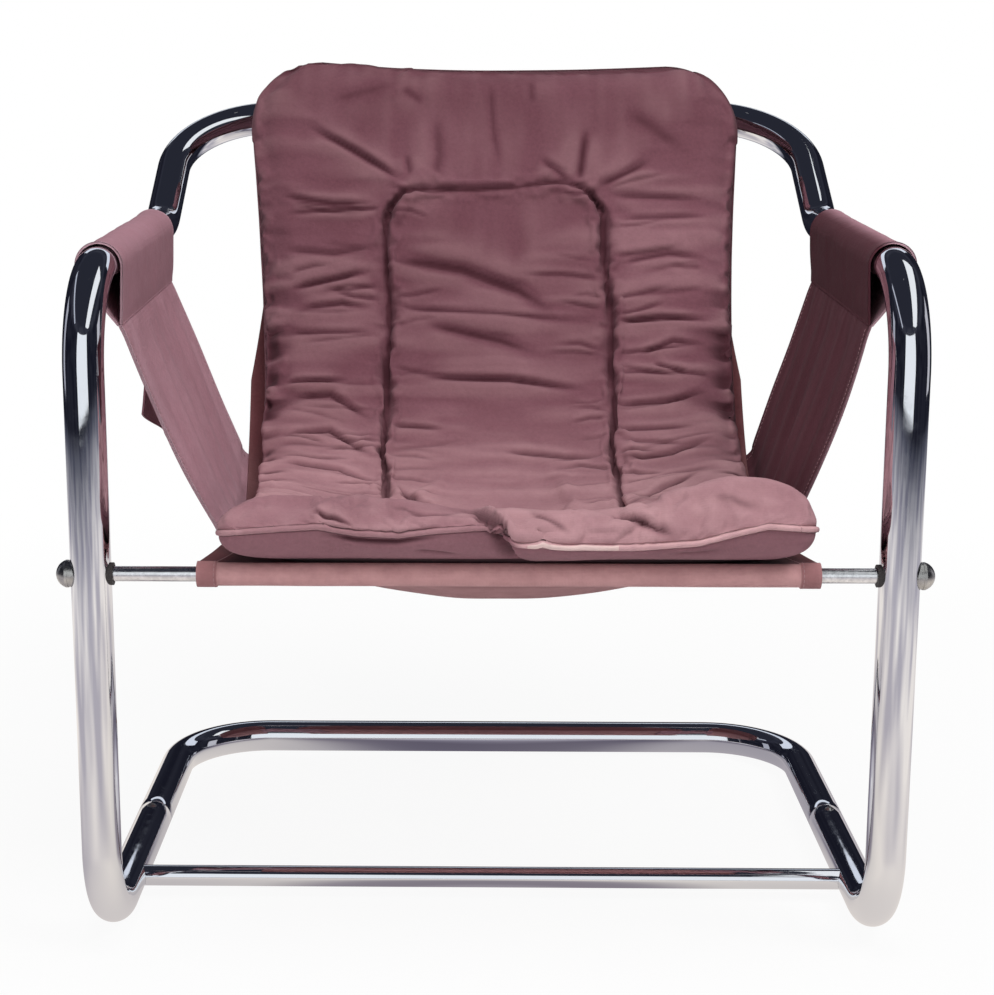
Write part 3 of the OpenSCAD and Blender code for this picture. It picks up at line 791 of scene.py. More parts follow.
def relax(points, pinned):
    """Blender's cloth on an open grid of points: blown up from below, held where it is pinned."""
    ob = plain_object("relaxing", points * MM, grid_faces(*points.shape[:2]))
    held = ob.vertex_groups.new(name="held")
    held.add(np.flatnonzero(pinned.ravel()).tolist(), 1.0, "REPLACE")
    cloth = ob.modifiers.new("cloth", "CLOTH")
    for key, value in CLOTH.items():
        setattr(cloth.settings, key, value)
    cloth.settings.effector_weights.gravity = 0
    cloth.collision_settings.use_collision = False
    cloth.point_cache.frame_start = 1
    cloth.point_cache.frame_end = CLOTH_FRAMES
    for f in range(1, CLOTH_FRAMES + 1):
        bpy.context.scene.frame_set(f)
    done = ob.evaluated_get(bpy.context.evaluated_depsgraph_get())
    out = np.empty(points.size)
    done.data.vertices.foreach_get("co", out)
    bpy.context.scene.frame_set(1)
    me = ob.data
    bpy.data.objects.remove(ob)
    bpy.data.meshes.remove(me)
    move = out.reshape(points.shape) / MM - points
    size = np.linalg.norm(move, axis=-1, keepdims=True)
    return points + move * (np.tanh(size / CLOTH_REACH) * CLOTH_REACH / np.maximum(size, 1e-6))


def denser(p, rows, cols):
    """A grid of points resampled with cubic steps."""

    def along(a, n):
        m = a.shape[0]
        t = np.linspace(0, m - 1, n)
        i = np.minimum(t.astype(int), m - 2)
        f = (t - i).reshape((-1,) + (1,) * (a.ndim - 1))
        p0, p1, p2, p3 = (a[np.clip(i + k, 0, m - 1)] for k in (-1, 0, 1, 2))
        return p1 + 0.5 * f * (
            p2 - p0 + f * (2 * p0 - 5 * p1 + 4 * p2 - p3 + f * (3 * (p1 - p2) + p3 - p0))
        )

    return along(along(p, rows).swapaxes(0, 1), cols).swapaxes(0, 1)


# Folds of the pad's top: points as (x, d), depth and half width
PAD_FOLDS = [
    ([(-90, 690), (-142, 724), (-192, 753)], 5.0, 4.4),
    ([(-60, 692), (-54, 722), (-58, 768)], 1.6, 10.0),
    ([(-92, 795), (-68, 775)], 1.4, 7.0),
    ([(-84, 696), (-88, 722)], 2.0, 4.5),
    ([(83, 690), (87, 720), (92, 752)], 3.4, 5.5),
    ([(72, 690), (44, 720)], 2.8, 4.8),
    ([(102, 684), (130, 699), (160, 716)], 3.4, 5.0),
    ([(110, 676), (215, 671)], 2.4, 4.0),
    ([(-4, 806), (-1, 750), (6, 700)], 1.5, 4.5),
    ([(37, 806), (38, 774)], 1.4, 4.0),
    ([(-222, 676), (-160, 666), (-110, 668)], 3.6, 3.6),
    ([(-216, 655), (-110, 662)], 2.4, 3.2),
    ([(-216, 616), (-160, 612), (-112, 622)], 2.6, 3.8),
    ([(-206, 570), (-160, 583), (-114, 594)], 4.6, 3.8),
    ([(-196, 549), (-150, 556), (-118, 550)], 3.2, 3.6),
    ([(-208, 520), (-114, 524)], 2.8, 3.6),
    ([(-208, 460), (-140, 466)], 4.4, 3.6),
    ([(-200, 440), (-160, 446), (-116, 412)], 4.0, 4.2),
    ([(-206, 384), (-160, 396), (-114, 352)], 4.0, 4.4),
    ([(-204, 330), (-150, 330), (-114, 306)], 3.4, 4.6),
    ([(-104, 607), (-33, 594), (22, 571), (62, 540)], 5.0, 9.0),
    ([(-104, 551), (0, 545), (104, 534)], 2.6, 4.6),
    ([(-72, 534), (3, 515), (44, 496)], 3.4, 8.0),
    ([(-76, 471), (10, 469), (92, 454)], 5.6, 4.6),
    ([(-104, 410), (-48, 406)], 3.6, 3.8),
    ([(0, 376), (60, 366), (96, 365)], 3.4, 4.4),
    ([(-99, 310), (-70, 262), (-34, 212)], 4.6, 5.0),
    ([(-100, 236), (20, 222), (100, 230)], 3.0, 7.0),
    ([(118, 650), (221, 654)], 2.4, 3.6),
    ([(118, 601), (170, 612), (214, 606)], 3.0, 4.0),
    ([(112, 534), (160, 540), (213, 536)], 4.8, 3.6),
    ([(136, 497), (170, 512), (206, 507)], 3.4, 3.4),
    ([(148, 486), (184, 472)], 3.6, 3.4),
    ([(109, 434), (160, 438), (206, 452)], 4.0, 3.8),
    ([(107, 402), (190, 400)], 3.2, 3.6),
    ([(110, 356), (160, 362), (202, 384)], 4.4, 4.4),
    ([(118, 250), (150, 290), (184, 318)], 5.0, 6.0),
    ([(-164, 776), (-96, 800)], 1.2, 10.0),
    ([(130, 770), (196, 720)], 1.6, 12.0),
]
# Folds of the front roll: points as (x, distance up from the edge seam)
LIP_FOLDS = [
    ([(-158, 20), (-146, 12), (-122, 3)], 3.8, 3.0),
    ([(-150, -1), (-110, -3), (-52, -1)], 4.2, 2.6),
    ([(-60, 14), (-34, 12), (-10, 5)], 3.0, 3.0),
    ([(-100, 34), (-70, 22), (-40, 24)], 1.8, 6.0),
    ([(10, 30), (30, 16), (44, 6)], 2.4, 5.0),
    ([(70, 34), (98, 17), (124, 4)], 5.0, 4.6),
    ([(118, -8), (160, -10)], 1.8, 3.0),
    ([(-80, -14), (-40, -26)], 2.6, 3.2),
    ([(150, 40), (190, 22)], 1.6, 8.0),
]
TUCK = [(-34, 62), (-27, 40), (-20, 26), (-13, 12), (-8, 0), (-2, -12), (8, -30)]


def tuck(x, a):
    """The front roll's right part laps over its left part along a slanting fold, with painted shade
    on the left part under the lap.
    """
    gap = -line_gap(x, a, TUCK)[0]
    fade = between(-40, -22, 34, 66, a)
    right = smooth(0, 5, gap) * np.exp(-np.maximum(gap, 0) / 34)
    left_side = bell(gap + 5, 8) * (gap < 3)
    return np.array([fade * (5.5 * right - 7.5 * left_side), 0.8 * fade * left_side])


def roll_folds(x, a):
    """The front roll's overlap and folds: how far they stand out, and the painted shade in them."""
    bent, dark = creases(x, a, LIP_FOLDS)
    return tuck(x, a) + [bent, 1.5 * dark]


FOLD_SCALE = 1.2


def small_folds(count, seed):
    """Small folds that run across the side bands and inwards from the panel's seam."""
    draw = np.random.RandomState(seed)
    folds = []
    for k in range(count):
        side = -1 if k % 2 else 1
        d = draw.uniform(60, 690)
        lean = draw.uniform(-0.25, 0.3)
        depth = draw.uniform(0.8, 2.6)
        width = draw.uniform(1.8, 3.2)
        if k % 5 < 3:
            start, length = 110, draw.uniform(40, 92)
            if k % 5 == 2:
                start, lean = 205, -lean
                length = -length
        else:
            start, length = 106, -draw.uniform(24, 90)
            depth *= 0.8
        bend = draw.uniform(-5, 5)
        xs = [start, start + 0.5 * length, start + length]
        ds = [d, d + 0.5 * lean * abs(length) + bend, d + lean * abs(length)]
        folds.append(([(side * x, y) for x, y in zip(xs, ds)], depth, width))
    return folds


SMALL_FOLDS = small_folds(110, 17)

SEAM_GROOVE, SEAM_W = 4.0, 2.4
# painted shade in the panel seam's groove: its strength and half width
SEAM_SHADE, SEAM_SHADE_W = 0.85, 1.7
WAVES_BESIDE, WAVES_ABOVE = 1.5, 0.8
GATHER_REACH = 11
PLEAT_REACH = 17
PLEATS, WORST_PLEATS = 1.0, 5.0
DARKEST = 0.9


def pad_detail(x, d, a):
    """How far the pad's top stands in or out from its smooth shape, and its painted shade in folds,
    seams and pleats.

    The place is x across the pad, d along it, and a up from the front edge over the roll.
    """
    panel = panel_gap(x, d)
    gap = np.abs(panel)
    edge = edge_gap(x, pad_half(d), d)
    open_front = smooth(-14, 14, d)
    above = above_panel(x, d)
    # the panel's seam, with painted shade in its groove, and painted shade that grows up the back,
    # near the upper end and behind the front roll
    out = (1.8 * above - SEAM_GROOVE) * bell(gap, SEAM_W) * open_front
    bolster = smooth(0, 20, panel) * (1 - smooth(640, 690, d))
    deep = SEAM_SHADE * bell(gap, SEAM_SHADE_W) * open_front
    deep += (0.3 - 0.1 * bolster) * smooth(290, 520, d)
    deep += 0.1 * smooth(700, 800, d) + 0.26 * bell(d - 32, 18)
    # waves that run across beside the panel, and upwards above it
    inside = smooth(2, 10, gap) * smooth(0, 14, edge)
    sides = value_noise(d / 17, x / 110, 3) + 0.6 * value_noise(d / 8, x / 55, 4)
    over = value_noise(x / 19, d / 80, 5) + 0.6 * value_noise(x / 9, d / 50, 6)
    out += inside * (WAVES_BESIDE * sides * (1 - above) + WAVES_ABOVE * over * above)
    # gathers along the panel's seam
    along = np.where(above > 0.5, x, d)
    gathers = value_noise(along / 5.2, gap / 40, 7) + 0.5 * value_noise(along / 11, gap / 50, 8)
    gathers *= np.exp(-gap / GATHER_REACH) * smooth(0, 3, gap) * open_front
    out += (1.3 - 1.0 * above) * gathers
    # pleats along the pad's edge, deepest where the pad bends
    rim = np.where(PAD_END - d < 70, x, d)
    pleats = value_noise(rim / 9.0, edge / 40, 9) + 0.6 * value_noise(rim / 17, edge / 60, 10)
    worst = between(240, 320, 520, 600, d)
    rank = np.exp(-edge / PLEAT_REACH) * smooth(0, 4, edge) * smooth(20, 80, d)
    out += (PLEATS + WORST_PLEATS * worst) * pleats * rank
    # painted shade in the pleats' valleys
    deep += 1.1 * worst * rank * smooth(0, 0.6, -pleats)
    # folds, with painted shade along their bottoms
    bent, dark = creases(x, d, PAD_FOLDS + SMALL_FOLDS, FOLD_SCALE) * smooth(0, 4, gap)
    lip = 1 - smooth(50, 80, a)
    pushed, roll_shade = roll_folds(x, a) * lip
    out += bent + pushed + lip * 0.7 * value_noise(x / 16, a / 9, 11)
    return out, np.minimum(deep + dark + roll_shade, DARKEST)


SIM_ROWS, SIM_COLS = 150, 104
PAD_ROWS, PAD_COLS = 380, 250
PINNED_GAP = 2.6
WELT_REACH, BEAD_REACH = 2.4, 0.9
BEAD_T = 0.3
WELT_SECTION = ((0.75, 0.72), (1.0, 0.0), (0.75, -0.72))
UNDER_MOST = 1.2


def welt_loops(top, low, bead):
    """Three loops of points round the pad's welt, between the rims of its top and underside."""
    mid = (top + low) / 2
    rise = unit(top - low)
    out = unit(np.cross(np.roll(mid, -1, 0) - np.roll(mid, 1, 0), rise))
    if ((mid - mid.mean(0)) * out).sum() < 0:
        out = -out
    reach = WELT_REACH + BEAD_REACH * bead
    thick = np.minimum(np.linalg.norm(top - low, axis=1) / 2, WELT_REACH + BEAD_T * bead)
    return [mid + out * (reach * o)[:, None] + rise * (thick * h)[:, None] for o, h in WELT_SECTION]


def pad_piece():
    top, _, x, d = pad_grid(SIM_ROWS, SIM_COLS)
    pinned = np.abs(panel_gap(x, d)) < PINNED_GAP
    pinned[[0, -1], :] = True
    pinned[:, [0, -1]] = True
    top = relax(top, pinned)
    top = denser(top, PAD_ROWS, PAD_COLS)
    _, low, x, d = pad_grid(PAD_ROWS, PAD_COLS)
    rise, drop = run_length(top), run_length(low)
    raised, deep = pad_detail(x, d, rise)
    top = top + grid_normals(top, (0, -0.5, 1.0)) * raised[..., None]
    lip = 1 - smooth(26, 40, drop)
    # folds under the front roll, with painted shade in them
    under, deep_under = roll_folds(x, -drop) * lip
    under += 0.35 * value_noise(x / 30, d / 22, 12) * smooth(4, 20, drop) - 0.35
    low = low + grid_normals(low, (0, 0.3, -1.0)) * np.minimum(under, UNDER_MOST)[..., None]

    # the welt, fuller and paler on the front edge's right part, where its pale piping is wear and a
    # painted highlight
    n = x.size
    ids = rim_ids(*x.shape)
    rx, rd = x.ravel()[ids], d.ravel()[ids]
    front = front_share(rd, 24)
    bead = front * smooth(-6, 6, rx)
    welt = welt_loops(top.reshape(-1, 3)[ids], low.reshape(-1, 3)[ids], bead)
    points = np.concatenate([top.reshape(-1, 3), low.reshape(-1, 3)] + welt)
    loops = [ids, *np.arange(2 * n, len(points)).reshape(len(welt), -1), ids + n]
    faces = shell_faces(*x.shape, loops)
    ob = new_object("pad_quilt", points, faces, "pad", PAD_CANVAS)
    ob.data.materials.append(PIPING_CANVAS)
    pale_piping = front * smooth(0, 16, rx) * (1 - smooth(70, 84, rx)) > 0.5
    index = np.zeros(len(faces), int)
    bands = index[-4 * len(ids) :].reshape(4, -1)
    bands[1:3] = pale_piping
    ob.data.polygons.foreach_set("material_index", index)

    # wear on the welt with a painted highlight on its piping; painted light on the seat, paler than
    # the back as if lit from above, less on the front roll's left part; ridges paler as wear and
    # painted highlight; darker edges at the upper end and on the right
    rubbed_and_lit = 1.0 * bead + 0.4 * front * (1 - smooth(-30, 0, rx))
    rubbed_and_lit = np.maximum(rubbed_and_lit, 0.55 * front * smooth(200, 214, np.abs(rx)))
    rubbed_and_lit = np.maximum(rubbed_and_lit, 0.08)
    dark_edges = 0.85 * np.maximum(smooth(-60, 0, rd - PAD_END + 12), smooth(300, 420, rd) * (rx > 0))
    roll = 1 - smooth(30, 90, rise)
    ridge_wear_and_highlight = np.clip(raised / 1.6, -0.3, 1)
    worn_and_lit = 0.04 + 0.42 * (1 - smooth(230, 500, d)) + 0.2 * ridge_wear_and_highlight
    worn_and_lit = np.clip(worn_and_lit - roll * (0.16 - 0.15 * smooth(-60, 60, x)), 0, 1)
    rim = 0.75 * (1 - smooth(1, 6, edge_gap(x, pad_half(d), d)))
    rim *= np.maximum(smooth(-30, 0, d - PAD_END + 8), smooth(300, 420, d) * (x > 0))
    wear_and_painted_light = np.concatenate([worn_and_lit.ravel(), 0.14 * lip.ravel(), *[rubbed_and_lit] * len(welt)])
    wear_and_painted_light[ids] = rubbed_and_lit * 0.7
    wear_and_painted_light[ids + n] = rubbed_and_lit * 0.5
    # painted shade of the top and of the underside, and the darker rim
    dark_top, dark_low = np.maximum(deep, rim), np.clip(deep_under, 0, DARKEST)
    paint(ob, wear_and_painted_light, np.concatenate([dark_top.ravel(), dark_low.ravel(), *[dark_edges] * len(welt)]))
    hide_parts("pad_cover", "pad_filling")


pad_piece()


# Canvas sheets
def sheet_shell(mid, up, thickness, wear_and_painted_light, deep):
    """Points, faces, wear with painted light, and painted shade of a closed sheet round a grid of
    middle points.

    The painted shade is given as two values, for the upper and for the under face.
    """
    shape = mid.shape[:2]
    half = grid_normals(mid, up) * (np.broadcast_to(thickness, shape)[..., None] / 2)
    ids = rim_ids(*shape)
    faces = shell_faces(*shape, [ids, ids + shape[0] * shape[1]])
    pairs = [[np.broadcast_to(v, shape).ravel() for v in pair] for pair in ((wear_and_painted_light, wear_and_painted_light), deep)]
    return np.stack([mid + half, mid - half]).reshape(-1, 3), faces, np.reshape(pairs, (2, -1))


def canvas_piece(name, material, *sheets):
    """One piece of closed sheets, each given as (middle points, up, thickness, wear with painted
    light, painted shade).
    """
    points, faces, values = [], [], []
    first = 0
    for sheet in sheets:
        found, its_faces, its_values = sheet_shell(*sheet)
        points.append(found)
        faces += [[first + i for i in face] for face in its_faces]
        values.append(its_values)
        first += len(found)
    ob = new_object(name, np.concatenate(points), faces, "frame", material)
    paint(ob, *np.concatenate(values, axis=1))
    return ob


def arc(centre, r, a0, a1, n):
    t = np.radians(np.linspace(a0, a1, n))
    return np.stack([centre[0] + r * np.cos(t), centre[1] + r * np.sin(t)], -1)


PLACES_ACROSS = 60


def across_steps(half):
    """Places across the sling from -half to half, closer together over each side hem."""
    side = [0.0, 0.5, HEM_W * 0.3, HEM_W * 0.6]
    side += [HEM_W - 2.2, HEM_W - 1.2, HEM_W - 0.5, HEM_W + 0.3]
    mid = np.linspace(-half + HEM_W + 4, half - HEM_W - 4, PLACES_ACROSS)
    return np.concatenate([[-half + v for v in side], mid, [half - v for v in reversed(side)]])


STITCH_PITCH = 4.2
STITCH_R = 0.32
STITCH_SIDES = 5
# A stitch's places along the thread, and how far each stands out of the canvas
STITCH_RUN = 2.7 * np.array([0.0, 0.2, 0.5, 0.8, 1.0])
STITCH_LIFT = 0.12 * np.array([-1.0, 0.5, 1.0, 0.5, -1.0])[:, None]


def stitches(name, mid, up, thickness, columns):
    """Sewn stitches along columns of a sheet's grid, on both of its faces."""
    nrm = grid_normals(mid, up)
    half = np.broadcast_to(thickness, mid.shape[:2])[..., None] / 2
    verts, faces = [], []
    for c, sign in [(c, sign) for c in columns for sign in (1, -1)]:
        outward = sign * nrm[:, c]
        points = mid[:, c] + outward * half[:, c]
        run = run_length(points)
        for first in np.arange(STITCH_PITCH, run[-1] - STITCH_PITCH, STITCH_PITCH):
            path = along_line(first + STITCH_RUN, run, points)
            path = path + STITCH_LIFT * along_line(first, run, outward)
            start = len(verts) * STITCH_SIDES
            verts += list(rings_round(path, frames_along(path), STITCH_R, STITCH_SIDES))
            faces += grid_faces(len(path), STITCH_SIDES, first=start, wrap=True)
            end = len(verts) * STITCH_SIDES
            faces.append(tuple(range(start, start + STITCH_SIDES)))
            faces.append(tuple(range(end - 1, end - STITCH_SIDES - 1, -1)))
    ob = new_object(name, np.concatenate(verts), faces, "frame", THREAD)


SLING_UP = (0, -0.6, 1.0)
HEM_UNDER = -2.5
SLING_SAG = 4.0
# Rows along the sling: its two turn-backs, the run between them, and round each pocket
FRONT_TURN = np.arange(44.0, 22.0, -4.0)
REAR_TURN = np.arange(40.0, 72.0, 4.0)
ROW_STEP = 5.0
POCKET_ROWS = 22


def sling_piece():
    def on_curve(d, lift):
        x = across_steps(sling_half(d))
        return cloth_at(d, x, lift), x, d + 0 * x

    def round_bar(place, width, d):
        x = across_steps(width / 2)
        y, z = LEG_Y + place[0], place[1]
        return np.stack([x + slide_at(d), y + 0 * x, z + 0 * x], -1), x, d + 0 * x

    front = arc((0, ROD_Z), FRONT_MID_R, 288, 62, POCKET_ROWS)
    back = arc((BACK_Y, BACK_Z), BACK_MID_R, 158, -68, POCKET_ROWS)
    rows = [on_curve(d, HEM_UNDER) for d in FRONT_TURN]
    rows += [round_bar(p, SLING_FRONT_W, 0.0) for p in front]
    rows += [on_curve(d, 0.0) for d in np.arange(2.0, SLING_LEN - 1.0, ROW_STEP)]
    rows += [round_bar(p, SLING_TOP_W, SLING_LEN) for p in back]
    rows += [on_curve(d, HEM_UNDER) for d in SLING_LEN - REAR_TURN]
    mid, x, d = (np.array(v) for v in zip(*rows))
    half = np.abs(x[:, :1])
    run = run_length(mid[:, mid.shape[1] // 2])[:, None]
    hem = (np.abs(x) > half - HEM_W).astype(float)
    stitched = bell(half - np.abs(x) - HEM_W + 3, 0.9) * hem
    ripple = 0.5 * value_noise(run / 60, x / 38, 21) + 0.35 * value_noise(run / 21, x / 90, 22)
    free = between(60, 110, SLING_LEN - 90, SLING_LEN - 50, d)
    sag = SLING_SAG * between(90, 170, 330, 460, d) * np.clip(1 - (x / half) ** 2, 0, 1)
    mid = mid + grid_normals(mid, SLING_UP) * (ripple * (0.25 + 1.1 * free) - sag)[..., None]
    pocket = (d < 1).astype(float)
    thickness = 1.9 + (0.9 + 1.3 * pocket) * hem - 0.5 * stitched
    belly = between(50, 90, 330, 420, d)
    # wear, with the pocket paler as wear and painted light, and the middle paler
    wear_and_painted_light = 0.04 + pocket * (0.95 - 0.6 * hem) + 0.1 * (half - np.abs(x) < 2) + 0.45 * belly
    # painted shade: the sheet darkened outside the pocket, more near the front and in the middle of
    # its upper face, the under face half as much, and the pocket darker below the rod
    below = smooth(4, -8, mid[..., 2] - ROD_Z)
    deep = (1 - pocket) * (0.32 + 0.3 * (1 - smooth(60, 130, d))) + 0.22 * pocket * below
    deep = (np.minimum(deep + 0.35 * belly, DARKEST), 0.5 * deep * (1 - belly))
    ob = canvas_piece("sling_sheet", SLING_CANVAS, (mid, SLING_UP, thickness, wear_and_painted_light, deep))
    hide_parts("sling")
    stitches("sling_stitches", mid, SLING_UP, thickness, (4, -5))


sling_piece()


# Side straps: a sleeve round the arm, a panel down to the sling's edge, and a loose flap
ARM_ANGLE = math.atan(ARM_RISE / ARM_LEN)
SLEEVE_R = TUBE_R + SLEEVE_GAP + CANVAS / 2


def seam_point(side, share):
    """Point on the seam below the arm, for a share of the sleeve's length."""
    along = SLEEVE_START + SLEEVE_LENGTH * np.asarray(share, float)
    return np.stack(
        [
            np.full_like(along, side * (LEG_X - SEAM_INSET)),
            LEG_Y + along * math.cos(ARM_ANGLE) + SEAM_DROP * math.sin(ARM_ANGLE),
            ARM_Z + along * math.sin(ARM_ANGLE) - SEAM_DROP * math.cos(ARM_ANGLE),
        ],
        -1,
    )


def strap_d(share):
    t = STRAP_FRONT_SHARE + (STRAP_REAR_SHARE - STRAP_FRONT_SHARE) * np.asarray(share, float)
    return np.interp(t, TABLE_T, TABLE_L)


SEAM_HALF = 1.1


def sleeve_grid(side):
    """Canvas from the seam, up and round the arm, and back down to the seam."""
    share = np.concatenate([[0, 0.004], np.linspace(0.012, 0.988, 64), [0.996, 1]])
    drop = math.hypot(SEAM_INSET, SEAM_DROP)
    lean = math.atan2(-SEAM_DROP, -side * SEAM_INSET)
    spread = math.acos(SLEEVE_R / drop)
    turn = np.linspace(lean + spread, lean + 2 * math.pi - spread, 40)
    ring = np.stack([SLEEVE_R * np.cos(turn), SLEEVE_R * np.sin(turn)], -1)
    tip = np.array([math.cos(lean), math.sin(lean)]) * drop
    away = np.array([-math.sin(lean), math.cos(lean)]) * SEAM_HALF
    k = np.linspace(0, 1, 14)[:, None]
    first = (tip + away) * (1 - k**1.4) + ring[0] * k**1.4
    last = ring[-1] + (tip - away - ring[-1]) * k**0.75
    section = np.concatenate([first[:-1], ring, last[1:]])
    # the canvas puffs a little between the arm and the seam, and flares at the sleeve's ends
    size = np.hypot(section[:, 0], section[:, 1])
    low = smooth(-6, -40, section[:, 1])
    place = np.arange(len(section)) / 9.0
    s = share[:, None]
    wave = value_noise(s * 11.0, place, 31 + (side > 0))
    wave = wave + 0.5 * value_noise(s * 26.0, place * 1.7, 33 + (side > 0))
    puff = (0.35 + 1.1 * low) * wave * smooth(0, 0.05, s) + 0.35
    flare = 0.9 * (np.exp(-s / 0.02) + np.exp(-(1 - s) / 0.02))
    scale = 1 + (puff + flare) * (1 - bell(size - drop, 7.0)) / np.maximum(size, 1)
    out, up = section[:, 0] * scale, section[:, 1] * scale
    along = SLEEVE_START + SLEEVE_LENGTH * s
    cos, sin = math.cos(ARM_ANGLE), math.sin(ARM_ANGLE)
    y, z = LEG_Y + along * cos - up * sin, ARM_Z + along * sin + up * cos
    return np.stack([side * LEG_X + out, y, z], -1), share


# painted shade on the straps' inner faces: dark on the right strap, hardly any on the left
STRAP_PAINTED_SHADE = {-1: 0.02, 1: 0.92}
STRAP_LEAN = math.radians(24)
STRAP_BOW = 5.0
# Ribs of a strap's panel: share along the sleeve, slope, height and half width
RIBS = [
    (0.08, 0.05, 2.4, 0.040),
    (0.24, -0.04, 3.4, 0.055),
    (0.41, 0.04, 2.2, 0.045),
    (0.58, -0.03, 3.2, 0.055),
    (0.75, 0.03, 2.2, 0.045),
    (0.91, 0.00, 2.0, 0.035),
]


def panel_grid(side):
    """The tight panel from the sleeve's seam down to the sling's edge and under it."""
    share = np.concatenate(
        [
            [0, 0.003, 0.012, 0.024, 0.034],
            np.linspace(0.05, 0.95, 66),
            [0.966, 0.976, 0.988, 0.997, 1],
        ]
    )
    d = strap_d(share)
    half = sling_half(d)
    seam = seam_point(side, share)
    foot = cloth_at(d, side * (half + 2 * CANVAS), -1.5 * CANVAS)
    lap = cloth_at(d, side * (half - STRAP_LAP), -CANVAS - LAP_GAP - 0.4) - foot
    down = np.concatenate([[0, 0.01, 0.03], np.linspace(0.06, 0.94, 44)])
    rows = [seam * (1 - k) + foot * k for k in down]
    a, b = rows[-1], foot + lap * 0.42
    rows += [(1 - t) ** 2 * a + 2 * t * (1 - t) * foot + t * t * b for t in np.linspace(0.12, 1, 9)]
    rows += [foot + lap * t for t in (0.6, 0.8, 1.0)]
    k = np.concatenate([down, np.ones(len(rows) - len(down))])[:, None]
    ribs = sum(
        height * bell(share - at - slope * (k - 0.5) * side, width)
        for at, slope, height, width in RIBS
    )
    ribs = ribs * between(0.0, 0.16, 0.86, 0.99, k) - 0.5
    ribs = ribs + 0.8 * value_noise(share * 14, k * 3, 41 + (side > 0))
    bow = STRAP_BOW * np.sin(np.pi * k) * (1 - share) ** 2.2
    push = bow + ribs * between(0, 0.05, 0.9, 1.0, k)
    lean = np.array([side * math.cos(STRAP_LEAN), 0, -math.sin(STRAP_LEAN)])
    return np.array(rows) + lean * push[..., None], share, k


def flap_grid(side):
    """A loose end of canvas that hangs from the seam outside the panel."""
    u = np.concatenate([[0, 0.01], np.linspace(0.03, 0.97, 30), [0.99, 1]])[None, :]
    v = np.concatenate([np.linspace(0, 0.97, 34), [0.99, 1]])[:, None]
    rear = seam_point(side, 1.0)
    drop = FLAP_FRONT_DROP + (FLAP_REAR_DROP - FLAP_FRONT_DROP) * u
    wave = 2.2 * np.sin(u * 7.0 + 0.6) * v + 2.5 * v * v + 6.5 * (1 - u) * v * v
    wave = wave + 1.2 * value_noise(u * 5, v * 4, 51 + (side > 0)) * smooth(0, 0.3, v)
    x = rear[0] + side * (1.0 + np.maximum(wave, -0.6))
    y = rear[1] - FLAP_W * (1 - u)
    z = rear[2] + CANVAS - (drop + CANVAS) * v
    return np.stack(np.broadcast_arrays(x, y, z), -1)


def strap_piece(side, name, node):
    shade = STRAP_PAINTED_SHADE[side]
    sleeve, share = sleeve_grid(side)
    hem = ((share < 0.05) | (share > 0.95))[:, None]
    edge = np.minimum(share, 1 - share)[:, None] * SLEEVE_LENGTH
    sleeve_wear = 0.34 + 0.4 * np.exp(-edge / 2.0)
    # painted shade on the side of each sleeve that faces inwards, with a little all over
    inward = 0.5 - 0.5 * side * grid_normals(sleeve, (0, 0, 1.0))[..., 0]
    sleeve_deep = shade * smooth(0.35, 0.85, inward) + 0.1

    panel, share, k = panel_grid(side)
    panel_up = (side, 0, -0.5)
    edge = np.minimum(share, 1 - share) * SLEEVE_LENGTH
    panel_t = 2.0 + 0.7 * (edge < 8.5) - 0.35 * bell(edge - 6, 0.8)
    streaks = 0.08 * value_noise(share * 13, k * 2.5, 63)
    streaks = streaks + 0.2 * bell(share - 0.12, 0.05) * (1 - k)
    # worn edges and streaks, paler lower down, and the left panel paler than the right as painted
    # light falling from the right
    panel_wear_and_light = (0.21 - 0.09 * side) * (1 + 0.35 * k) + 0.5 * np.exp(-edge / 2.5) + streaks
    # painted shade on the panel's inner face, strong on the right strap, and a little on its outer
    # face
    panel_deep = (0.15, shade + 0.06 * value_noise(share * 40, k * 2, 61))
    ob = canvas_piece(
        name,
        STRAP_CANVAS,
        (sleeve, (side * 0.2, 0, 1), 1.5 + 0.5 * hem, sleeve_wear, (sleeve_deep, sleeve_deep)),
        (panel, panel_up, panel_t, np.clip(panel_wear_and_light, 0, 1), panel_deep),
        # the flap is darkened with painted shade, as if in the panel's shadow
        (flap_grid(side), (side, 0, 0), 1.7, 0.1, (0.35, 0.35)),
    )
    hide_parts(node)
    stitches(name + "_stitches", panel, panel_up, panel_t, (3, -4))


strap_piece(-1, "strap_left", "side_strap_left")
strap_piece(1, "strap_right", "side_strap_right")


# Stage and light
FLOOR_HALF = 20
# Brightness of the floor and the walls in the chrome, over the distance from the middle
ROOM_REACH = 3.4
ROOM_GLOW = [
    (0.0, (0.80, 0.80, 0.84)),
    (0.025, (0.78, 0.78, 0.82)),
    (0.04, (0.52, 0.50, 0.56)),
    (0.055, (0.26, 0.24, 0.29)),
    (0.065, (0.30, 0.28, 0.33)),
    (0.08, (0.75, 0.73, 0.72)),
    (0.12, (0.88, 0.85, 0.82)),
    (0.2, (0.98, 0.95, 0.92)),
    (0.42, (0.95, 0.94, 0.94)),
    (0.52, (0.66, 0.66, 0.70)),
    (0.64, (0.36, 0.37, 0.42)),
    (0.76, (0.12, 0.13, 0.17)),
    (0.85, (0.018, 0.02, 0.032)),
]
ROOM_PATCHES = [(0.38, (0.52, 0.50, 0.56)), (0.62, (1.0, 0.96, 0.92))]
CEILING = (0.022, 0.024, 0.036)
CEILING_FROM, CEILING_TO = 2.2, 2.7
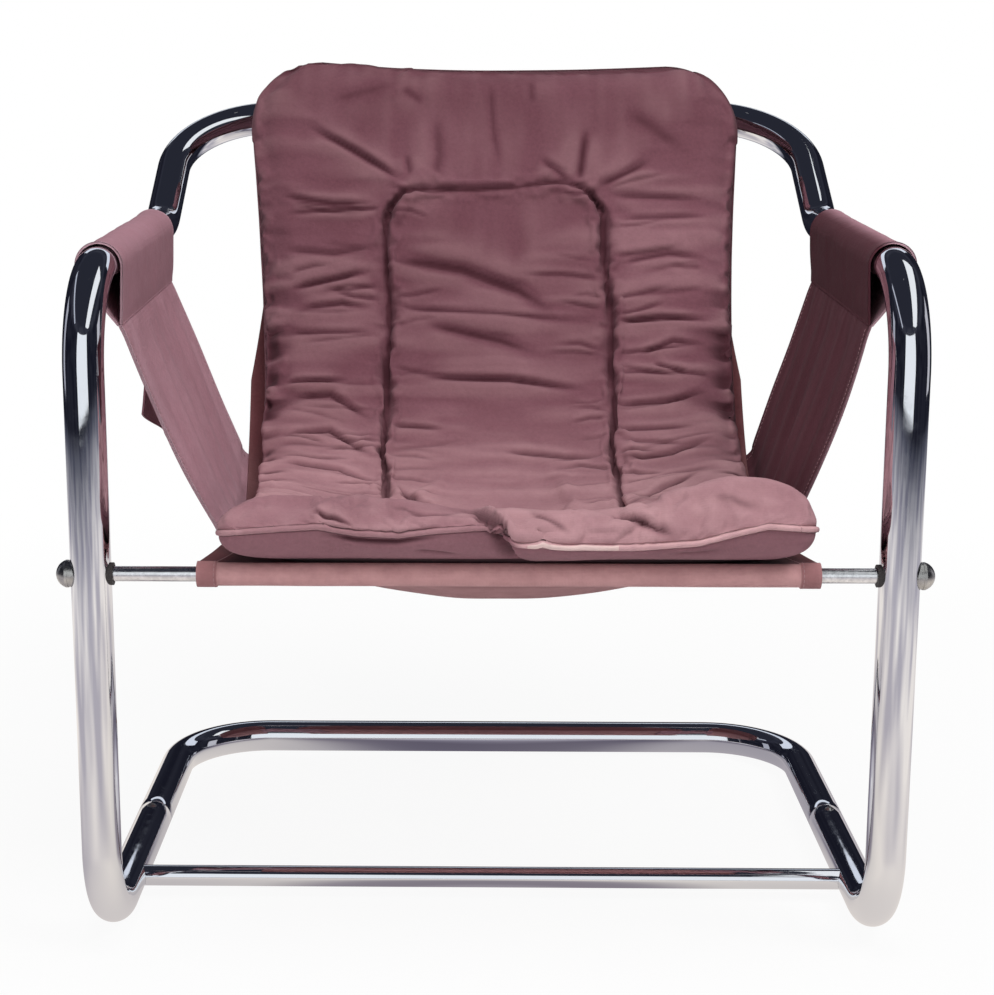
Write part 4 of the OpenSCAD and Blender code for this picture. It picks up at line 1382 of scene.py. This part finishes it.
# The room's shape: radius and height, from the middle of the floor to the ceiling's
ROOM_RINGS = [(r, 0.002) for r in (0.02, 0.4, 0.9, 1.5, 2.2, 2.9)]
ROOM_RINGS += [(2.9, 0.5), (2.9, 1.2), (2.9, 2.0), (2.7, 2.7), (1.6, 3.0), (0.02, 3.05)]
ROOM_SIDES = 48
WINDOW_REACH = 2.7
WINDOW_STEPS = 16


def seen_by_eye(nt):
    """1 for camera, glossy and transmission rays, 0 for the rest."""
    ray = nt.nodes.new("ShaderNodeLightPath").outputs
    seen = calc(nt, "MAXIMUM", ray["Is Camera Ray"], ray["Is Glossy Ray"])
    return calc(nt, "MAXIMUM", seen, ray["Is Transmission Ray"])


def white_out(nt, share, shader, white):
    return add(nt, "MixShader", numbered=((0, share), (1, shader), (2, white)))


def floor_material():
    """A pale floor that runs out into the white of the backdrop."""
    mat, nt, bsdf = node_material("studio_floor")
    set_up(nt, bsdf, Base_Color=(0.88, 0.88, 0.88), Roughness=0.9, Specular_IOR_Level=0.1)
    away = vector_calc(nt, "LENGTH", add(nt, "TexCoord", "Object"), give="Value")
    far = remap(nt, away, 0.35, 1.6, 0.93, 1.0, "SMOOTHSTEP")
    share = calc(nt, "MULTIPLY", far, seen_by_eye(nt))
    show(nt, white_out(nt, share, bsdf.outputs["BSDF"], add(nt, "Emission", Color=(1, 1, 1))))
    return mat


def glow_material(name, shade):
    """A plain glow of a colour, or of what a function makes with nodes."""
    mat, nt, bsdf = node_material(name)
    nt.nodes.remove(bsdf)
    show(nt, add(nt, "Emission", Color=shade(nt) if callable(shade) else shade))
    return mat


def room_shade(nt):
    """Pale floor, dark walls and ceiling, with soft patches."""
    place = add(nt, "TexCoord", "Object")
    away = vector_calc(nt, "LENGTH", vector_calc(nt, "MULTIPLY", place, (1, 1, 0)), give="Value")
    glow = color_ramp(nt, calc(nt, "DIVIDE", away, ROOM_REACH), ROOM_GLOW)
    patches = color_ramp(nt, noise(nt, place, 1.5, 1.5, 0.5), ROOM_PATCHES)
    lit = vector_calc(nt, "MULTIPLY", glow, patches)
    high = remap(nt, add(nt, "SeparateXYZ", "Z", Vector=place), CEILING_FROM, CEILING_TO)
    return mixed(nt, high, lit, CEILING)


def set_piece(name, points, faces, shade):
    """A glowing piece of the set that only glossy rays meet, so that only the chrome shows it."""
    ob = plain_object(name, points, faces, glow_material(name, shade))
    for ray in ("camera", "diffuse", "shadow", "transmission"):
        setattr(ob, "visible_" + ray, False)
    return ob


def surround():
    turns = 2 * math.pi * np.arange(ROOM_SIDES) / ROOM_SIDES
    points = [(r * math.cos(a), r * math.sin(a), z) for r, z in ROOM_RINGS for a in turns]
    faces = grid_faces(len(ROOM_RINGS), ROOM_SIDES, wrap=True)
    set_piece("dim_surround", points, faces, room_shade).data.shade_smooth()


def window_arc(name, first, last, low, high, shade):
    """A bright strip of the wall between two bearings from the front, in degrees."""
    bearings = np.radians(np.linspace(first, last, WINDOW_STEPS + 1))
    points = [
        (WINDOW_REACH * math.sin(a), -WINDOW_REACH * math.cos(a), z)
        for a in bearings
        for z in (low, high)
    ]
    set_piece(name, points, grid_faces(len(bearings), 2), shade)


def skylight(name, x0, x1, y0, y1, z, shade):
    """A long bright strip of the ceiling."""
    set_piece(name, [(x0, y0, z), (x1, y0, z), (x1, y1, z), (x0, y1, z)], [(0, 1, 2, 3)], shade)


floor_corners = [(-1, -1, 0), (1, -1, 0), (1, 1, 0), (-1, 1, 0)]
studio_floor = plain_object(
    "studio_floor", FLOOR_HALF * np.array(floor_corners), [(0, 1, 2, 3)], floor_material()
)
surround()
window_arc("window_front", -28, 24, 0.05, 2.1, (0.92, 0.96, 1.0))
window_arc("window_left", -112, -98, 0.1, 1.5, (0.42, 0.43, 0.5))
window_arc("window_right", 92, 112, 0.1, 1.5, (0.55, 0.55, 0.6))
window_arc("window_back", 150, 210, 1.3, 1.9, (0.75, 0.8, 0.9))
skylight("skylight_right", 0.7, 1.7, -2.4, 1.2, 2.45, (0.95, 0.98, 1.0))
skylight("skylight_left", -2.2, -1.9, -1.8, 1.2, 2.3, (0.5, 0.53, 0.62))


def area_light(name, loc, target, size, power):
    data = bpy.data.lights.new(name, "AREA")
    data.shape = "RECTANGLE"
    data.size, data.size_y = size
    data.energy = power
    ob = bpy.data.objects.new(name, data)
    bpy.context.scene.collection.objects.link(ob)
    ob.location = loc
    ob.rotation_euler = (Vector(target) - Vector(loc)).to_track_quat("-Z", "Y").to_euler()
    ob.visible_glossy = False


area_light("key_light", (1.2, -1.0, 1.9), (0, -0.05, 0.4), (0.8, 0.8), 18)
area_light("top_light", (0.1, -0.45, 2.4), (0, -0.1, 0.3), (1.2, 0.9), 25)
area_light("fill_light", (-1.1, -2.0, 0.6), (-0.1, 0, 0.3), (1.2, 0.5), 14)


def studio_world():
    """Soft light for the chair, and white wherever the eye meets the backdrop."""
    world = bpy.data.worlds.new("studio")
    bpy.context.scene.world = world
    world.use_nodes = True
    nt = world.node_tree
    soft = nt.nodes["Background"]
    set_up(nt, soft, Color=(0.94, 0.96, 1.0), Strength=0.2)
    white = add(nt, "Background", Color=(1, 1, 1), Strength=1.0)
    shader = white_out(nt, seen_by_eye(nt), soft.outputs["Background"], white)
    show(nt, shader, "World Output")


studio_world()

bpy.context.scene.view_settings.view_transform = "Standard"
